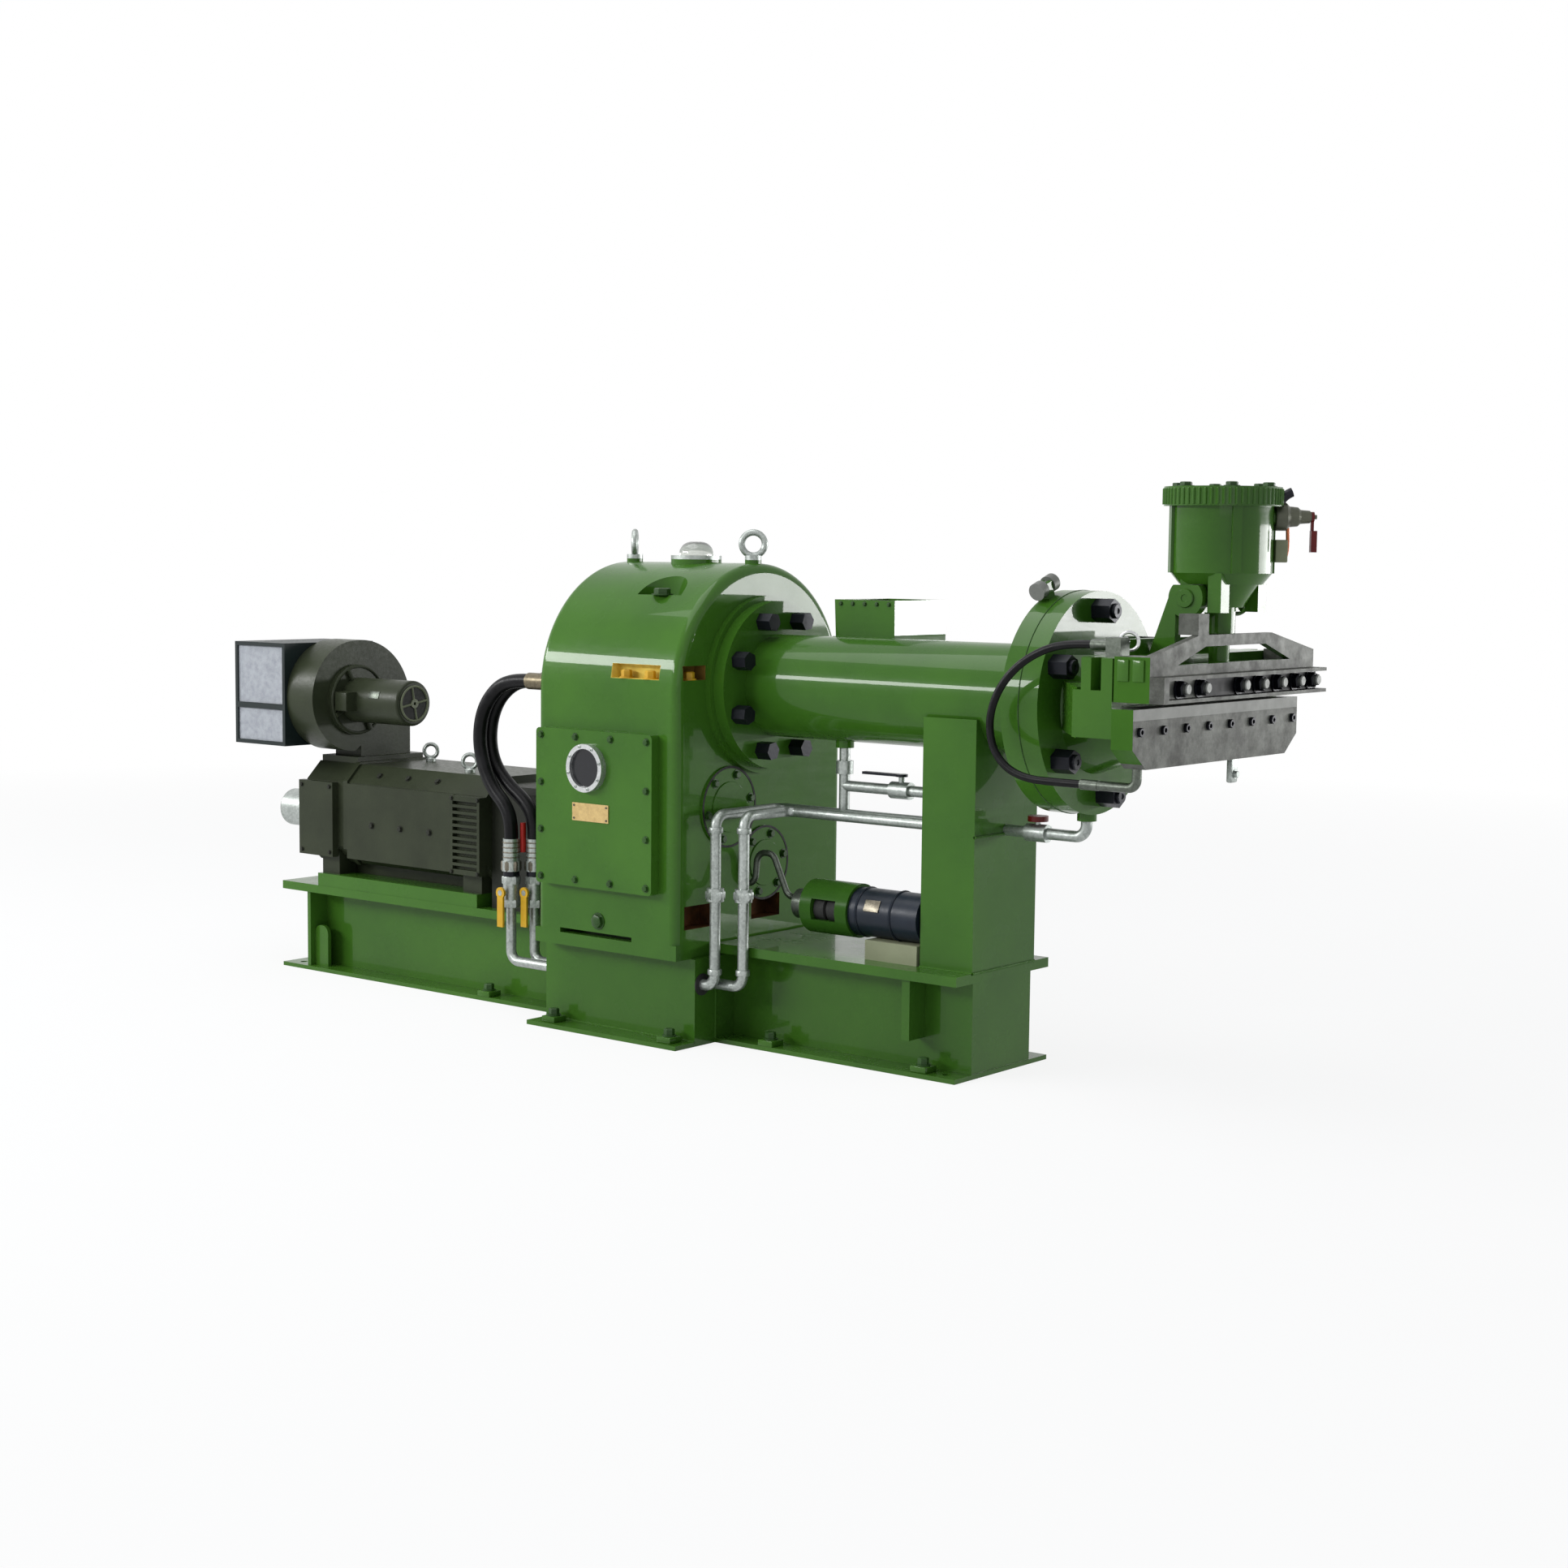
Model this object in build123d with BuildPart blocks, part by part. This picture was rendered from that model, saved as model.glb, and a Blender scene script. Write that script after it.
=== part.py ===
import os
from math import cos, radians, sin, tan

from build123d import *

# A rubber extruder on one long welded base. The origin is on the floor under the middle of the
# base, +X runs along the machine to the die, +Y to its far side, and +Z is up. The motor, the
# gearbox, the barrel and the head all lie over the X axis. Lengths are in millimetres.

# Shared by the whole machine
axis_height = 1100
overrun = 10
running_gap = 0.4
moving_clearance = 5
turn_to_x = (0, 90, 0)
turn_to_y = (-90, 0, 0)
from_end = (Align.CENTER, Align.CENTER, Align.MIN)

# Base
motor_bed_length = 1434
plinth_length = 637
barrel_bed_length = 905
base_width = 480
base_height = 311
girder_width = 300
top_plate = 29
bottom_plate = 14
drive_end_inset = 122
die_end_inset = 4
end_plate = 16
gusset = 28
gusset_drop = 180
gusset_inset = 12
tongue_length = 70
tongue_height = 146
tongue_thickness = 14
tongue_y = 200
tongue_round = 30
plinth_width = 674
plinth_foot_width = 852
plinth_height = 270
anchor_hole = 13
anchor_end_inset = 60
anchor_edge_inset = 45

# Motor
motor_axis_height = 545
pad_rear_inset = 71
pad_front_inset = 34
pad_width = 100
pad_height = 45
pad_edge_inset = 2
motor_start = 122
motor_length = 920
motor_width = 450
motor_top = 750
motor_clear = 40
motor_corner = 62
foot_length = 90
foot_edge_inset = 10
belly_inset = 8
band_start = 202
band_length = 22
band_rise = 6
cover_start = 225
cover_bottom = 421
cover_height = 265
cover_thickness = 10
end_box_overhang = 15
end_box_length = 180
end_box_thickness = 25
vent_gap = 8
vent_length = 142
vent_thickness = 34
vent_frame = 12
louvre_count = 11
louvre_share = 0.55
tacho_radius = 68
tacho_length = 350
tacho_round = 10
guard_inset = 25
guard_height = 415
guard_wall = 20
guard_setback = 6

# Blower on the motor
blower_y = -146
blower_height = 976
scroll_face = 293
scroll_width = 138
scroll_near = 195
scroll_top = 209
scroll_far = 258
scroll_low = 182
neck_width = 232
neck_flange = 310
neck_flange_depth = 190
neck_flange_height = 22
inlet_radius = 125
inlet_depth = 16
fan_motor_radius = 79
fan_motor_length = 290
fan_motor_round = 10
terminal_width = 65
terminal_height = 66
terminal_depth = 36
terminal_start = 10
filter_length = 274
filter_width = 408
filter_height = 363
filter_bottom = 812
filter_near = 204
filter_rim = 14
filter_crossbar = 20
filter_crossbar_share = 0.36
mat_depth = 60
mat_recess = 6

# Gearbox
gearbox_setback = 23
gearbox_length = 595
gearbox_width = 808
gearbox_round = 30
arch_height = 1074
foot_plate = 47
foot_overhang = 5
panel_start = 32
panel_size = 491
panel_bottom = 467
panel_thickness = 35
panel_round = 14
glass_radius = 75
glass_ring = 15
glass_ring_depth = 22
glass_start = 227
glass_drop = 115
plate_length = 153
plate_height = 56
plate_thickness = 3
plate_start = 161
plate_rise = 209
boss_radius = 278
boss_depth = 20
top_pad_height = 10
breather_radius = 81
breather_flange = 12
dome_radius = 55
dome_height = 44
dome_round = 40
breather_start = 312
eye_collar_radius = 26
eye_collar = 14
eye_ring_radius = 36
eye_bar_radius = 10
eye_inset = 46
eye_turns = (129, 39)
upper_cover_radius = 127
upper_cover_y = -166
upper_cover_drop = 373
lower_cover_radius = 118
lower_cover_y = 7
lower_cover_drop = 562
bearing_cover_depth = 6
side_pocket_start = 318
side_pocket_length = 198
side_pocket_rise = 24
side_pocket_height = 44
side_pocket_depth = 45
end_pocket_y = -327
end_pocket_width = 101
foot_pocket_ys = (-297, 21)
foot_pocket_width = 140
foot_pocket_rise = 45
foot_pocket_height = 72
foot_pocket_depth = 60
foot_slot_start = 104
foot_slot_length = 307
foot_slot_height = 15
foot_slot_depth = 60
recess_start = 393
recess_y = 270
recess_radius = 90
recess_rise = 304

# Barrel, hopper and column
barrel_radius = 159
barrel_length = 1049
rear_flange_radius = 262
rear_flange = 40
front_flange_radius = 316
front_flange = 58
barrel_stud_count = 8
barrel_stud_circle_radius = 215
barrel_stud_radius = 29
barrel_stud_length = 52
feed_start = 214
feed_length = 224
feed_near = 15
feed_width = 264
feed_top = 160
feed_bottom = 100
throat_length = 150
throat_width = 150
throat_depth = 150
hopper_flare = 3
hopper_height = 112
hopper_wall = 8
port_radius = 28
port_drop = 20
column_depth = 186
column_width = 322
saddle_height = 130
saddle_bottom = 186

# Head and die
head_flange = 62
neck_length = 197
neck_radius = 200
neck_front_radius = 130
neck_top = 140
wing_root = 190
wing_reach = 430
wing_top = 70
wing_bottom = 65
head_stud_count = 6
head_stud_circle_radius = 262
head_stud_radius = 34
head_stud_length = 60
stud_end_radius = 21
stud_end_length = 6
stud_angle = 5
flange_pin_angle = 20
flange_pin_disc = 25
flange_pin_radius = 14
flange_pin_width = 86
flange_pin_lug = 30
flange_pin_margin = 5
head_width = 900
head_depth = 120
head_top = 150
head_bottom = 60
ridge_start = 8
ridge_depth = 26
ridge_width = 600
ridge_height = 42
slot_height = 18
slot_rise = 19
slot_depth = 60
slot_end = 50
end_step = 25
end_post = 30
end_groove = 31
end_groove_depth = 85
end_groove_reach = 48
jaw_depth = 66
jaw_height = 159
jaw_corner_y = 68
jaw_corner_z = 54
bar_height = 69
bar_overhang = 89
bar_groove_height = 50
bar_groove_depth = 34
bar_groove_end = 26
bridge_depth = 107
bridge_plate = 22
jaw_post_width = 95
bridge_top_width = 400
bridge_shoulder = 50
bridge_height = 102
window_low_width = 620
window_top_width = 330
window_bottom = 26
window_height = 46
lift_travel = 30
lift_block_length = 60
lift_block_width = 55
lift_block_height = 56
lift_block_y = 152

# Clamp cylinder over the die
cylinder_setback = 8
cylinder_radius = 136
cylinder_bottom = 371
cylinder_height = 179
skirt_height = 30
skirt_radius = 112
cap_radius = 158
cap_height = 52
rib_count = 4
rib_depth = 8
rib_width = 26
front_leg_start = 31
front_leg_depth = 40
front_leg_y = 80
front_leg_width = 45
rod_radius = 42
rod_stem_radius = 28
rod_reach = 110
lug_depth = 70
lug_width = 46
lug_drop = 75
lug_y = 58
ear_thickness = 30
ear_radius = 52
ear_foot = 80
ear_gap = 2
pivot_radius = 18
pivot_setback = 30
hand_valve_angle = 39
hand_valve_radius = 22
hand_valve_length = 92
hand_valve_drop = 26
lever_pin_radius = 6
lever_hub_radius = 14
lever_thickness = 8
hand_lever_length = 95
hand_lever_width = 9
hand_grip_width = 22
hand_grip_length = 58
hand_grip_thickness = 16

# Pipes, valves and hoses
pipe_radius = 16.7
pipe_bend = 36
union_radius = 27
union_length = 40
supply_height = 716
supply_foot_height = 190
supply_stand_off = 51
supply_y = -304
return_stand_off = 128
return_y = -262
return_run_y = -50
riser_start = 307
branch_height = 804
branch_valve_start = 525
valve_radius = 26
valve_length = 70
stem_radius = 9
stem_rise = 50
branch_lever_length = 142
branch_lever_width = 22
drain_stem_rise = 34
drain_handle_radius = 30
drain_handle_height = 16
drain_valve_share = 0.4
hose_a_y = -318
hose_b_y = -268
hose_a_start = 119
hose_b_start = 109
hose_port_height = 1092
hose_radius = 23
ferrule_radius = 27
ferrule_length = 72
ferrule_nut_radius = 30
ferrule_nut_length = 34
hose_a_foot_x = -234
hose_b_foot_x = -176
hose_foot_height = 574
hose_valve_height = 400
hose_valve_radius = 27
hose_valve_length = 90
hose_pipe_height = 172
hose_stem = 52
hose_lever_length = 112
hose_lever_width = 26
head_hose_radius = 11
head_hose_y = -370
head_hose_start = 8
head_hose_rise = 181
head_hose_end = -17
head_hose_drop = 192
head_ferrule_radius = 14
head_ferrule_length = 54
head_valve_length = 46
head_valve_width = 44
head_valve_height = 52
head_elbow_bend = 24
head_elbow_radius = 13

# Oil pump on the barrel bed
pump_y = -100
pump_block_height = 58.6
bell_start = 280
bell_length = 178
bell_radius = 82
bell_window_length = 92
bell_window_height = 64
bell_window_depth = 40
pump_motor_radius = 73
pump_motor_gap = 9
pump_block_width = 130
pump_block_setback = 62
pump_body_length = 60
pump_body_radius = 46
pump_port_radius = 17
pump_port_length = 26
pump_port_rise = 12
tube_radius = 10
tube_y = -80
tube_start_height = 480
tube_top_height = 582
tube_shares = (0.15, 0.19, 0.46, 0.72)
tube_bend = 34

# Places that follow from the sizes above
base_length = motor_bed_length + plinth_length + barrel_bed_length
base_start = -base_length / 2
plinth_start = base_start + motor_bed_length
plinth_end = plinth_start + plinth_length
base_end = plinth_end + barrel_bed_length
pad_top = base_height + pad_height
motor_rear = base_start + motor_start
motor_front = motor_rear + motor_length
motor_side = motor_width / 2
pad_start = motor_rear + pad_rear_inset
pad_end = motor_front - pad_front_inset
pad_length = pad_end - pad_start
vent_start = motor_front - vent_length
pump_height = base_height + pump_block_height + running_gap + pump_motor_radius
scroll_plane = base_start + scroll_face
gearbox_rear = plinth_start + gearbox_setback
gearbox_front = gearbox_rear + gearbox_length
gearbox_side = gearbox_width / 2
foot_top = plinth_height + foot_plate
arch_top = arch_height + gearbox_side
top_pad = arch_top + top_pad_height
panel_face = gearbox_side + panel_thickness
barrel_rear = gearbox_front + boss_depth
barrel_start = barrel_rear + rear_flange
barrel_end = barrel_start + barrel_length
flange_face = barrel_end + front_flange
head_start = flange_face + head_flange
column_front = base_end
column_rear = column_front - column_depth
body_rear = head_start + neck_length
body_front = body_rear + head_depth
body_top = axis_height + head_top
head_side = head_width / 2
jaw_top = axis_height + slot_rise
jaw_front = body_front + jaw_depth
upper_rear = body_front + moving_clearance
bridge_front = upper_rear + bridge_depth
bar_bottom = jaw_top + slot_height
bar_top = bar_bottom + bar_height
bar_front = jaw_front + bar_overhang
bridge_top = bar_top + bridge_height
cylinder_x = jaw_front + cylinder_setback
cylinder_foot = axis_height + cylinder_bottom
cylinder_top = cylinder_foot + cylinder_height


# A box between two opposite corners.
def block(low, high, mode=Mode.ADD):
    size = Vector(*high) - Vector(*low)
    with Locations((Vector(*low) + Vector(*high)) / 2):
        Box(size.X, size.Y, size.Z, mode=mode)


# A round bar along X, Y or Z from the centre of its first end.
def bar_x(start, length, radius, mode=Mode.ADD):
    with Locations(start):
        Cylinder(radius, length, rotation=turn_to_x, align=from_end, mode=mode)


def bar_y(start, length, radius, mode=Mode.ADD):
    with Locations(start):
        Cylinder(radius, length, rotation=turn_to_y, align=from_end, mode=mode)


def bar_z(start, length, radius, mode=Mode.ADD):
    with Locations(start):
        Cylinder(radius, length, align=from_end, mode=mode)


# A round pipe through corner points, with one bend radius.
def pipe(points, radius, bend):
    with BuildLine() as route:
        FilletPolyline(*points, radius=bend)
    line = route.wires()[0]
    with BuildSketch(Plane(origin=line @ 0, z_dir=line % 0)) as section:
        Circle(radius)
    sweep(sections=section.sketch, path=line)


# A hose as straight runs and arcs, each arc as large as its two runs allow.
def hose(name, points, radius):
    corners = [Vector(*point) for point in points]
    radii = []
    for before, corner, after in zip(corners, corners[1:], corners[2:]):
        first = corner - before
        second = after - corner
        run_share = 0.45
        half_turn = radians(first.get_angle(second) / 2)
        radii.append(run_share * min(first.length, second.length) / tan(half_turn))
    with BuildLine() as route:
        FilletPolyline(*corners, radius=radii)
    line = route.wires()[0]
    with BuildSketch(Plane(origin=line @ 0, z_dir=line % 0)) as section:
        Circle(radius)
    sweep(sections=section.sketch, path=line)
    print(name, "length", round(line.length, 1), "radii", [round(value) for value in radii],
          "section times length", round(section.sketch.area * line.length))


# The girder of a bed: two flange plates and the closed box between them.
def girder(start, end, box_start, box_end):
    half = base_width / 2
    block((start, -half, 0), (end, half, bottom_plate))
    block((start, -half, base_height - top_plate), (end, half, base_height))
    box = girder_width / 2
    block((box_start, -box, bottom_plate), (box_end, box, base_height - top_plate))


# A stiffener on both sides of a girder, hung from the top plate.
def gussets(place):
    box = girder_width / 2
    edge = base_width / 2 - gusset_inset
    top = base_height - top_plate
    with BuildSketch(Plane.YZ.offset(place - gusset / 2)) as outline:
        with Locations((0, top - gusset_drop / 2)):
            with GridLocations(edge + box, 0, 2, 1):
                Rectangle(edge - box, gusset_drop)
    extrude(outline.sketch, amount=gusset)


# A point on the blower scroll's outline, at an angle from the far side over the top.
def rim(angle, radius):
    return (blower_y + radius * cos(radians(angle)), blower_height + radius * sin(radians(angle)))


with BuildPart() as motor_bed:
    box_start = base_start + drive_end_inset
    girder(base_start, plinth_start, box_start, plinth_start)
    edge = base_width / 2 - gusset_inset
    block((box_start, -edge, bottom_plate), (box_start + end_plate, edge, base_height - top_plate))
    with Locations((base_start + anchor_end_inset, 0, bottom_plate)):
        with GridLocations(0, base_width - 2 * anchor_edge_inset, 1, 2):
            Hole(anchor_hole, depth=bottom_plate)

    # A rounded tongue braces the end plate near each side.
    tongue_x = box_start + end_plate
    for side in (-1, 1):
        with BuildSketch(Plane.XZ.offset(side * tongue_y - tongue_thickness / 2)) as tongue:
            with Locations((tongue_x + tongue_length / 2, bottom_plate + tongue_height / 2)):
                Rectangle(tongue_length, tongue_height)
            fillet(tongue.vertices().group_by(Axis.Y)[-1], radius=tongue_round)
        extrude(tongue.sketch, amount=tongue_thickness)

    pad_outer = base_width / 2 - pad_edge_inset
    with Locations(((pad_start + pad_end) / 2, 0, base_height)):
        with GridLocations(pad_length, 2 * pad_outer - pad_width, 1, 2):
            Box(pad_length, pad_width, pad_height, align=from_end)

with BuildPart() as gearbox_plinth:
    foot = plinth_foot_width / 2
    wall = plinth_width / 2
    block((plinth_start, -foot, 0), (plinth_end, foot, bottom_plate))
    block((plinth_start, -wall, bottom_plate), (plinth_end, wall, plinth_height))

with BuildPart() as barrel_bed:
    girder(plinth_end, base_end, plinth_end, base_end - die_end_inset)
    gussets(column_rear)
    with Locations((base_end - anchor_end_inset, 0, bottom_plate)):
        with GridLocations(0, base_width - 2 * anchor_edge_inset, 1, 2):
            Hole(anchor_hole, depth=bottom_plate)

with BuildPart() as motor_body:
    body_bottom = pad_top + motor_clear
    with BuildSketch(Plane.YZ.offset(motor_rear)):
        with Locations((0, (body_bottom + motor_top) / 2)):
            Rectangle(motor_width, motor_top - body_bottom)
        chamfer(vertices(), length=motor_corner)
    extrude(amount=motor_length)
    with BuildSketch(Plane.YZ.offset(motor_rear + band_start)):
        with Locations((0, (body_bottom + motor_top) / 2)):
            Rectangle(motor_width + 2 * band_rise, motor_top - body_bottom + 2 * band_rise)
        chamfer(vertices(), length=motor_corner)
    extrude(amount=band_length)
    foot_y = base_width / 2 - pad_edge_inset - pad_width
    belly = foot_y - belly_inset
    block((pad_start, -belly, base_height + moving_clearance), (pad_end, belly, body_bottom))
    for start in (pad_start, pad_end - foot_length):
        for side in (-1, 1):
            low, high = sorted((side * foot_y, side * (motor_side - foot_edge_inset)))
            block((start, low, pad_top), (start + foot_length, high, body_bottom + motor_corner))

with BuildPart() as motor_covers:
    start = motor_rear + cover_start
    for side in (-1, 1):
        low, high = sorted((side * motor_side, side * (motor_side + cover_thickness)))
        block((start, low, cover_bottom), (vent_start - vent_gap, high, cover_bottom + cover_height))
        low, high = sorted((side * motor_side, side * (motor_side + end_box_thickness)))
        end_start = motor_rear - end_box_overhang
        block((end_start, low, cover_bottom), (end_start + end_box_length, high,
                                               cover_bottom + cover_height))

with BuildPart() as motor_vents:
    pitch = (cover_height - 2 * vent_frame) / louvre_count
    for side in (-1, 1):
        low, high = sorted((side * motor_side, side * (motor_side + vent_thickness)))
        block((vent_start, low, cover_bottom), (motor_front, high, cover_bottom + cover_height))
        for step in range(louvre_count):
            bottom = cover_bottom + vent_frame + (step + (1 - louvre_share) / 2) * pitch
            mid = side * (motor_side + vent_thickness / 2)
            low, high = sorted((mid, side * (motor_side + vent_thickness + overrun)))
            block((vent_start + vent_frame, low, bottom),
                  (motor_front - vent_frame, high, bottom + louvre_share * pitch), Mode.SUBTRACT)

with BuildPart() as tacho_cover:
    bar_x((motor_rear - tacho_length, 0, motor_axis_height), tacho_length, tacho_radius)
    fillet(tacho_cover.edges().filter_by(GeomType.CIRCLE).sort_by(Axis.X)[0], radius=tacho_round)

with BuildPart() as coupling_guard:
    half = motor_side - guard_inset
    guard_end = gearbox_rear - guard_setback
    block((motor_front, -half, base_height), (guard_end, half, base_height + guard_height))
    chamfer(coupling_guard.faces().sort_by(Axis.Z)[-1].edges().filter_by(Axis.X), length=guard_wall)

with BuildPart() as blower_scroll:
    neck_far = blower_y + scroll_far
    flange_top = motor_top + neck_flange_height
    with BuildSketch(Plane.YZ.offset(scroll_plane - scroll_width)):
        with BuildLine():
            ThreePointArc(rim(0, scroll_far), rim(45, (scroll_far + scroll_top) / 2), rim(90, scroll_top))
            ThreePointArc(rim(90, scroll_top), rim(135, (scroll_top + scroll_near) / 2),
                          rim(180, scroll_near))
            ThreePointArc(rim(180, scroll_near), rim(225, (scroll_near + scroll_low) / 2),
                          rim(270, scroll_low))
            Line(rim(270, scroll_low), rim(0, scroll_far))
        make_face()
        with Locations((neck_far - neck_width / 2, (blower_height + flange_top) / 2)):
            Rectangle(neck_width, blower_height - flange_top)
    extrude(amount=scroll_width)
    flange_x = scroll_plane - scroll_width / 2
    block((flange_x - neck_flange_depth / 2, neck_far - neck_width / 2 - neck_flange / 2, motor_top),
          (flange_x + neck_flange_depth / 2, neck_far - neck_width / 2 + neck_flange / 2, flange_top))
    bar_x((scroll_plane, blower_y, blower_height), inlet_depth, inlet_radius)

with BuildPart() as blower_motor:
    fan_start = scroll_plane + inlet_depth
    bar_x((fan_start, blower_y, blower_height), fan_motor_length, fan_motor_radius)
    fillet(blower_motor.edges().filter_by(GeomType.CIRCLE).sort_by(Axis.X)[-1], radius=fan_motor_round)
    box_y = blower_y - fan_motor_radius - terminal_depth
    block((fan_start + terminal_start, box_y, blower_height - terminal_height / 2),
          (fan_start + terminal_start + terminal_width, blower_y, blower_height + terminal_height / 2))

with BuildPart() as filter_box:
    filter_end = scroll_plane - scroll_width
    filter_start = filter_end - filter_length
    near = blower_y - filter_near
    filter_top = filter_bottom + filter_height
    block((filter_start, near, filter_bottom), (filter_end, near + filter_width, filter_top))
    inner_height = filter_height - 2 * filter_rim - filter_crossbar
    low_height = inner_height * filter_crossbar_share
    mat_bottoms = (filter_bottom + filter_rim, filter_bottom + filter_rim + low_height + filter_crossbar)
    mat_heights = (low_height, inner_height - low_height)
    for bottom, height in zip(mat_bottoms, mat_heights):
        block((filter_start + filter_rim, near - overrun, bottom),
              (filter_end - filter_rim, near + mat_depth, bottom + height), Mode.SUBTRACT)

with BuildPart() as filter_mats:
    for bottom, height in zip(mat_bottoms, mat_heights):
        block((filter_start + filter_rim, near + mat_recess, bottom),
              (filter_end - filter_rim, near + mat_depth, bottom + height))

with BuildPart() as gearbox_case:
    with BuildSketch(Plane.YZ.offset(gearbox_rear)):
        with BuildLine():
            sides = Polyline((gearbox_side, arch_height), (gearbox_side, foot_top),
                             (-gearbox_side, foot_top), (-gearbox_side, arch_height))
            JernArc(start=sides @ 1, tangent=(0, 1), radius=gearbox_side, arc_size=-180)
        make_face()
    extrude(amount=gearbox_length)
    ends = gearbox_case.faces().filter_by(Axis.X)
    fillet(ends.edges().filter_by(lambda edge: edge.center().Z > foot_top + overrun), radius=gearbox_round)
    block((gearbox_rear - foot_overhang, -gearbox_side, plinth_height),
          (gearbox_front, gearbox_side, foot_top))
    bar_x((gearbox_front, 0, axis_height), boss_depth, boss_radius)
    eye_places = (gearbox_rear + eye_inset, gearbox_front - eye_inset)
    for place in eye_places:
        bar_z((place, 0, arch_top - gearbox_round), gearbox_round + top_pad_height, eye_collar_radius)
    breather_x = gearbox_rear + breather_start
    bar_z((breather_x, 0, arch_top - gearbox_round), gearbox_round + top_pad_height, breather_radius)

    # Pockets for the bolts that hold the case together and down, open to the side or the end.
    pocket_x = gearbox_rear + side_pocket_start
    pocket_z = axis_height + side_pocket_rise
    slot_x = gearbox_rear + foot_slot_start
    slot_z = foot_top - foot_slot_height / 2
    for side in (-1, 1):
        low, high = sorted((side * (gearbox_side - side_pocket_depth), side * (gearbox_side + overrun)))
        block((pocket_x, low, pocket_z),
              (pocket_x + side_pocket_length, high, pocket_z + side_pocket_height), Mode.SUBTRACT)
        low, high = sorted((side * (gearbox_side - foot_slot_depth), side * (gearbox_side + overrun)))
        block((slot_x, low, slot_z), (slot_x + foot_slot_length, high, slot_z + foot_slot_height),
              Mode.SUBTRACT)
        bar_z((gearbox_rear + recess_start, side * recess_y, arch_height + recess_rise),
              gearbox_side, recess_radius, Mode.SUBTRACT)
        half = end_pocket_width / 2
        block((gearbox_front - side_pocket_depth, side * end_pocket_y - half, pocket_z),
              (gearbox_front + overrun, side * end_pocket_y + half, pocket_z + side_pocket_height),
              Mode.SUBTRACT)
    for place in foot_pocket_ys:
        half = foot_pocket_width / 2
        block((gearbox_front - foot_pocket_depth, place - half, foot_top + foot_pocket_rise),
              (gearbox_front + overrun, place + half, foot_top + foot_pocket_rise + foot_pocket_height),
              Mode.SUBTRACT)

with BuildPart() as gearbox_side_panels:
    start = gearbox_rear + panel_start
    for side in (-1, 1):
        low, high = sorted((side * gearbox_side, side * panel_face))
        block((start, low, panel_bottom), (start + panel_size, high, panel_bottom + panel_size))
    upright = gearbox_side_panels.edges().filter_by(Axis.Y)
    fillet(upright, radius=panel_round)

glass_x = gearbox_rear + panel_start + glass_start
glass_z = panel_bottom + panel_size - glass_drop

with BuildPart() as sight_glass_ring:
    bar_y((glass_x, -panel_face - glass_ring_depth, glass_z), glass_ring_depth, glass_radius)
    bar_y((glass_x, -panel_face - glass_ring_depth - overrun, glass_z), glass_ring_depth + 2 * overrun,
          glass_radius - glass_ring, Mode.SUBTRACT)

with BuildPart() as sight_glass_pane:
    bar_y((glass_x, -panel_face - glass_ring_depth / 2, glass_z), glass_ring_depth / 2,
          glass_radius - glass_ring)

with BuildPart() as nameplate:
    start = gearbox_rear + panel_start + plate_start
    bottom = panel_bottom + plate_rise
    block((start, -panel_face - plate_thickness, bottom),
          (start + plate_length, -panel_face, bottom + plate_height))

with BuildPart() as breather:
    bar_z((breather_x, 0, top_pad), breather_flange, breather_radius)

with BuildPart() as breather_dome:
    bar_z((breather_x, 0, top_pad + breather_flange), dome_height, dome_radius)
    fillet(breather_dome.edges().filter_by(GeomType.CIRCLE).sort_by(Axis.Z)[-1], radius=dome_round)

with BuildPart() as lifting_eyes:
    for place, turned in zip(eye_places, eye_turns):
        bar_z((place, 0, top_pad), eye_collar, eye_collar_radius)
        with Locations(Location((place, 0, top_pad + eye_collar + eye_ring_radius), (90, turned, 0))):
            Torus(eye_ring_radius, eye_bar_radius)

with BuildPart() as bearing_covers:
    bar_x((gearbox_front, upper_cover_y, axis_height - upper_cover_drop), bearing_cover_depth,
          upper_cover_radius)
    bar_x((gearbox_front, lower_cover_y, axis_height - lower_cover_drop), bearing_cover_depth,
          lower_cover_radius)

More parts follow.
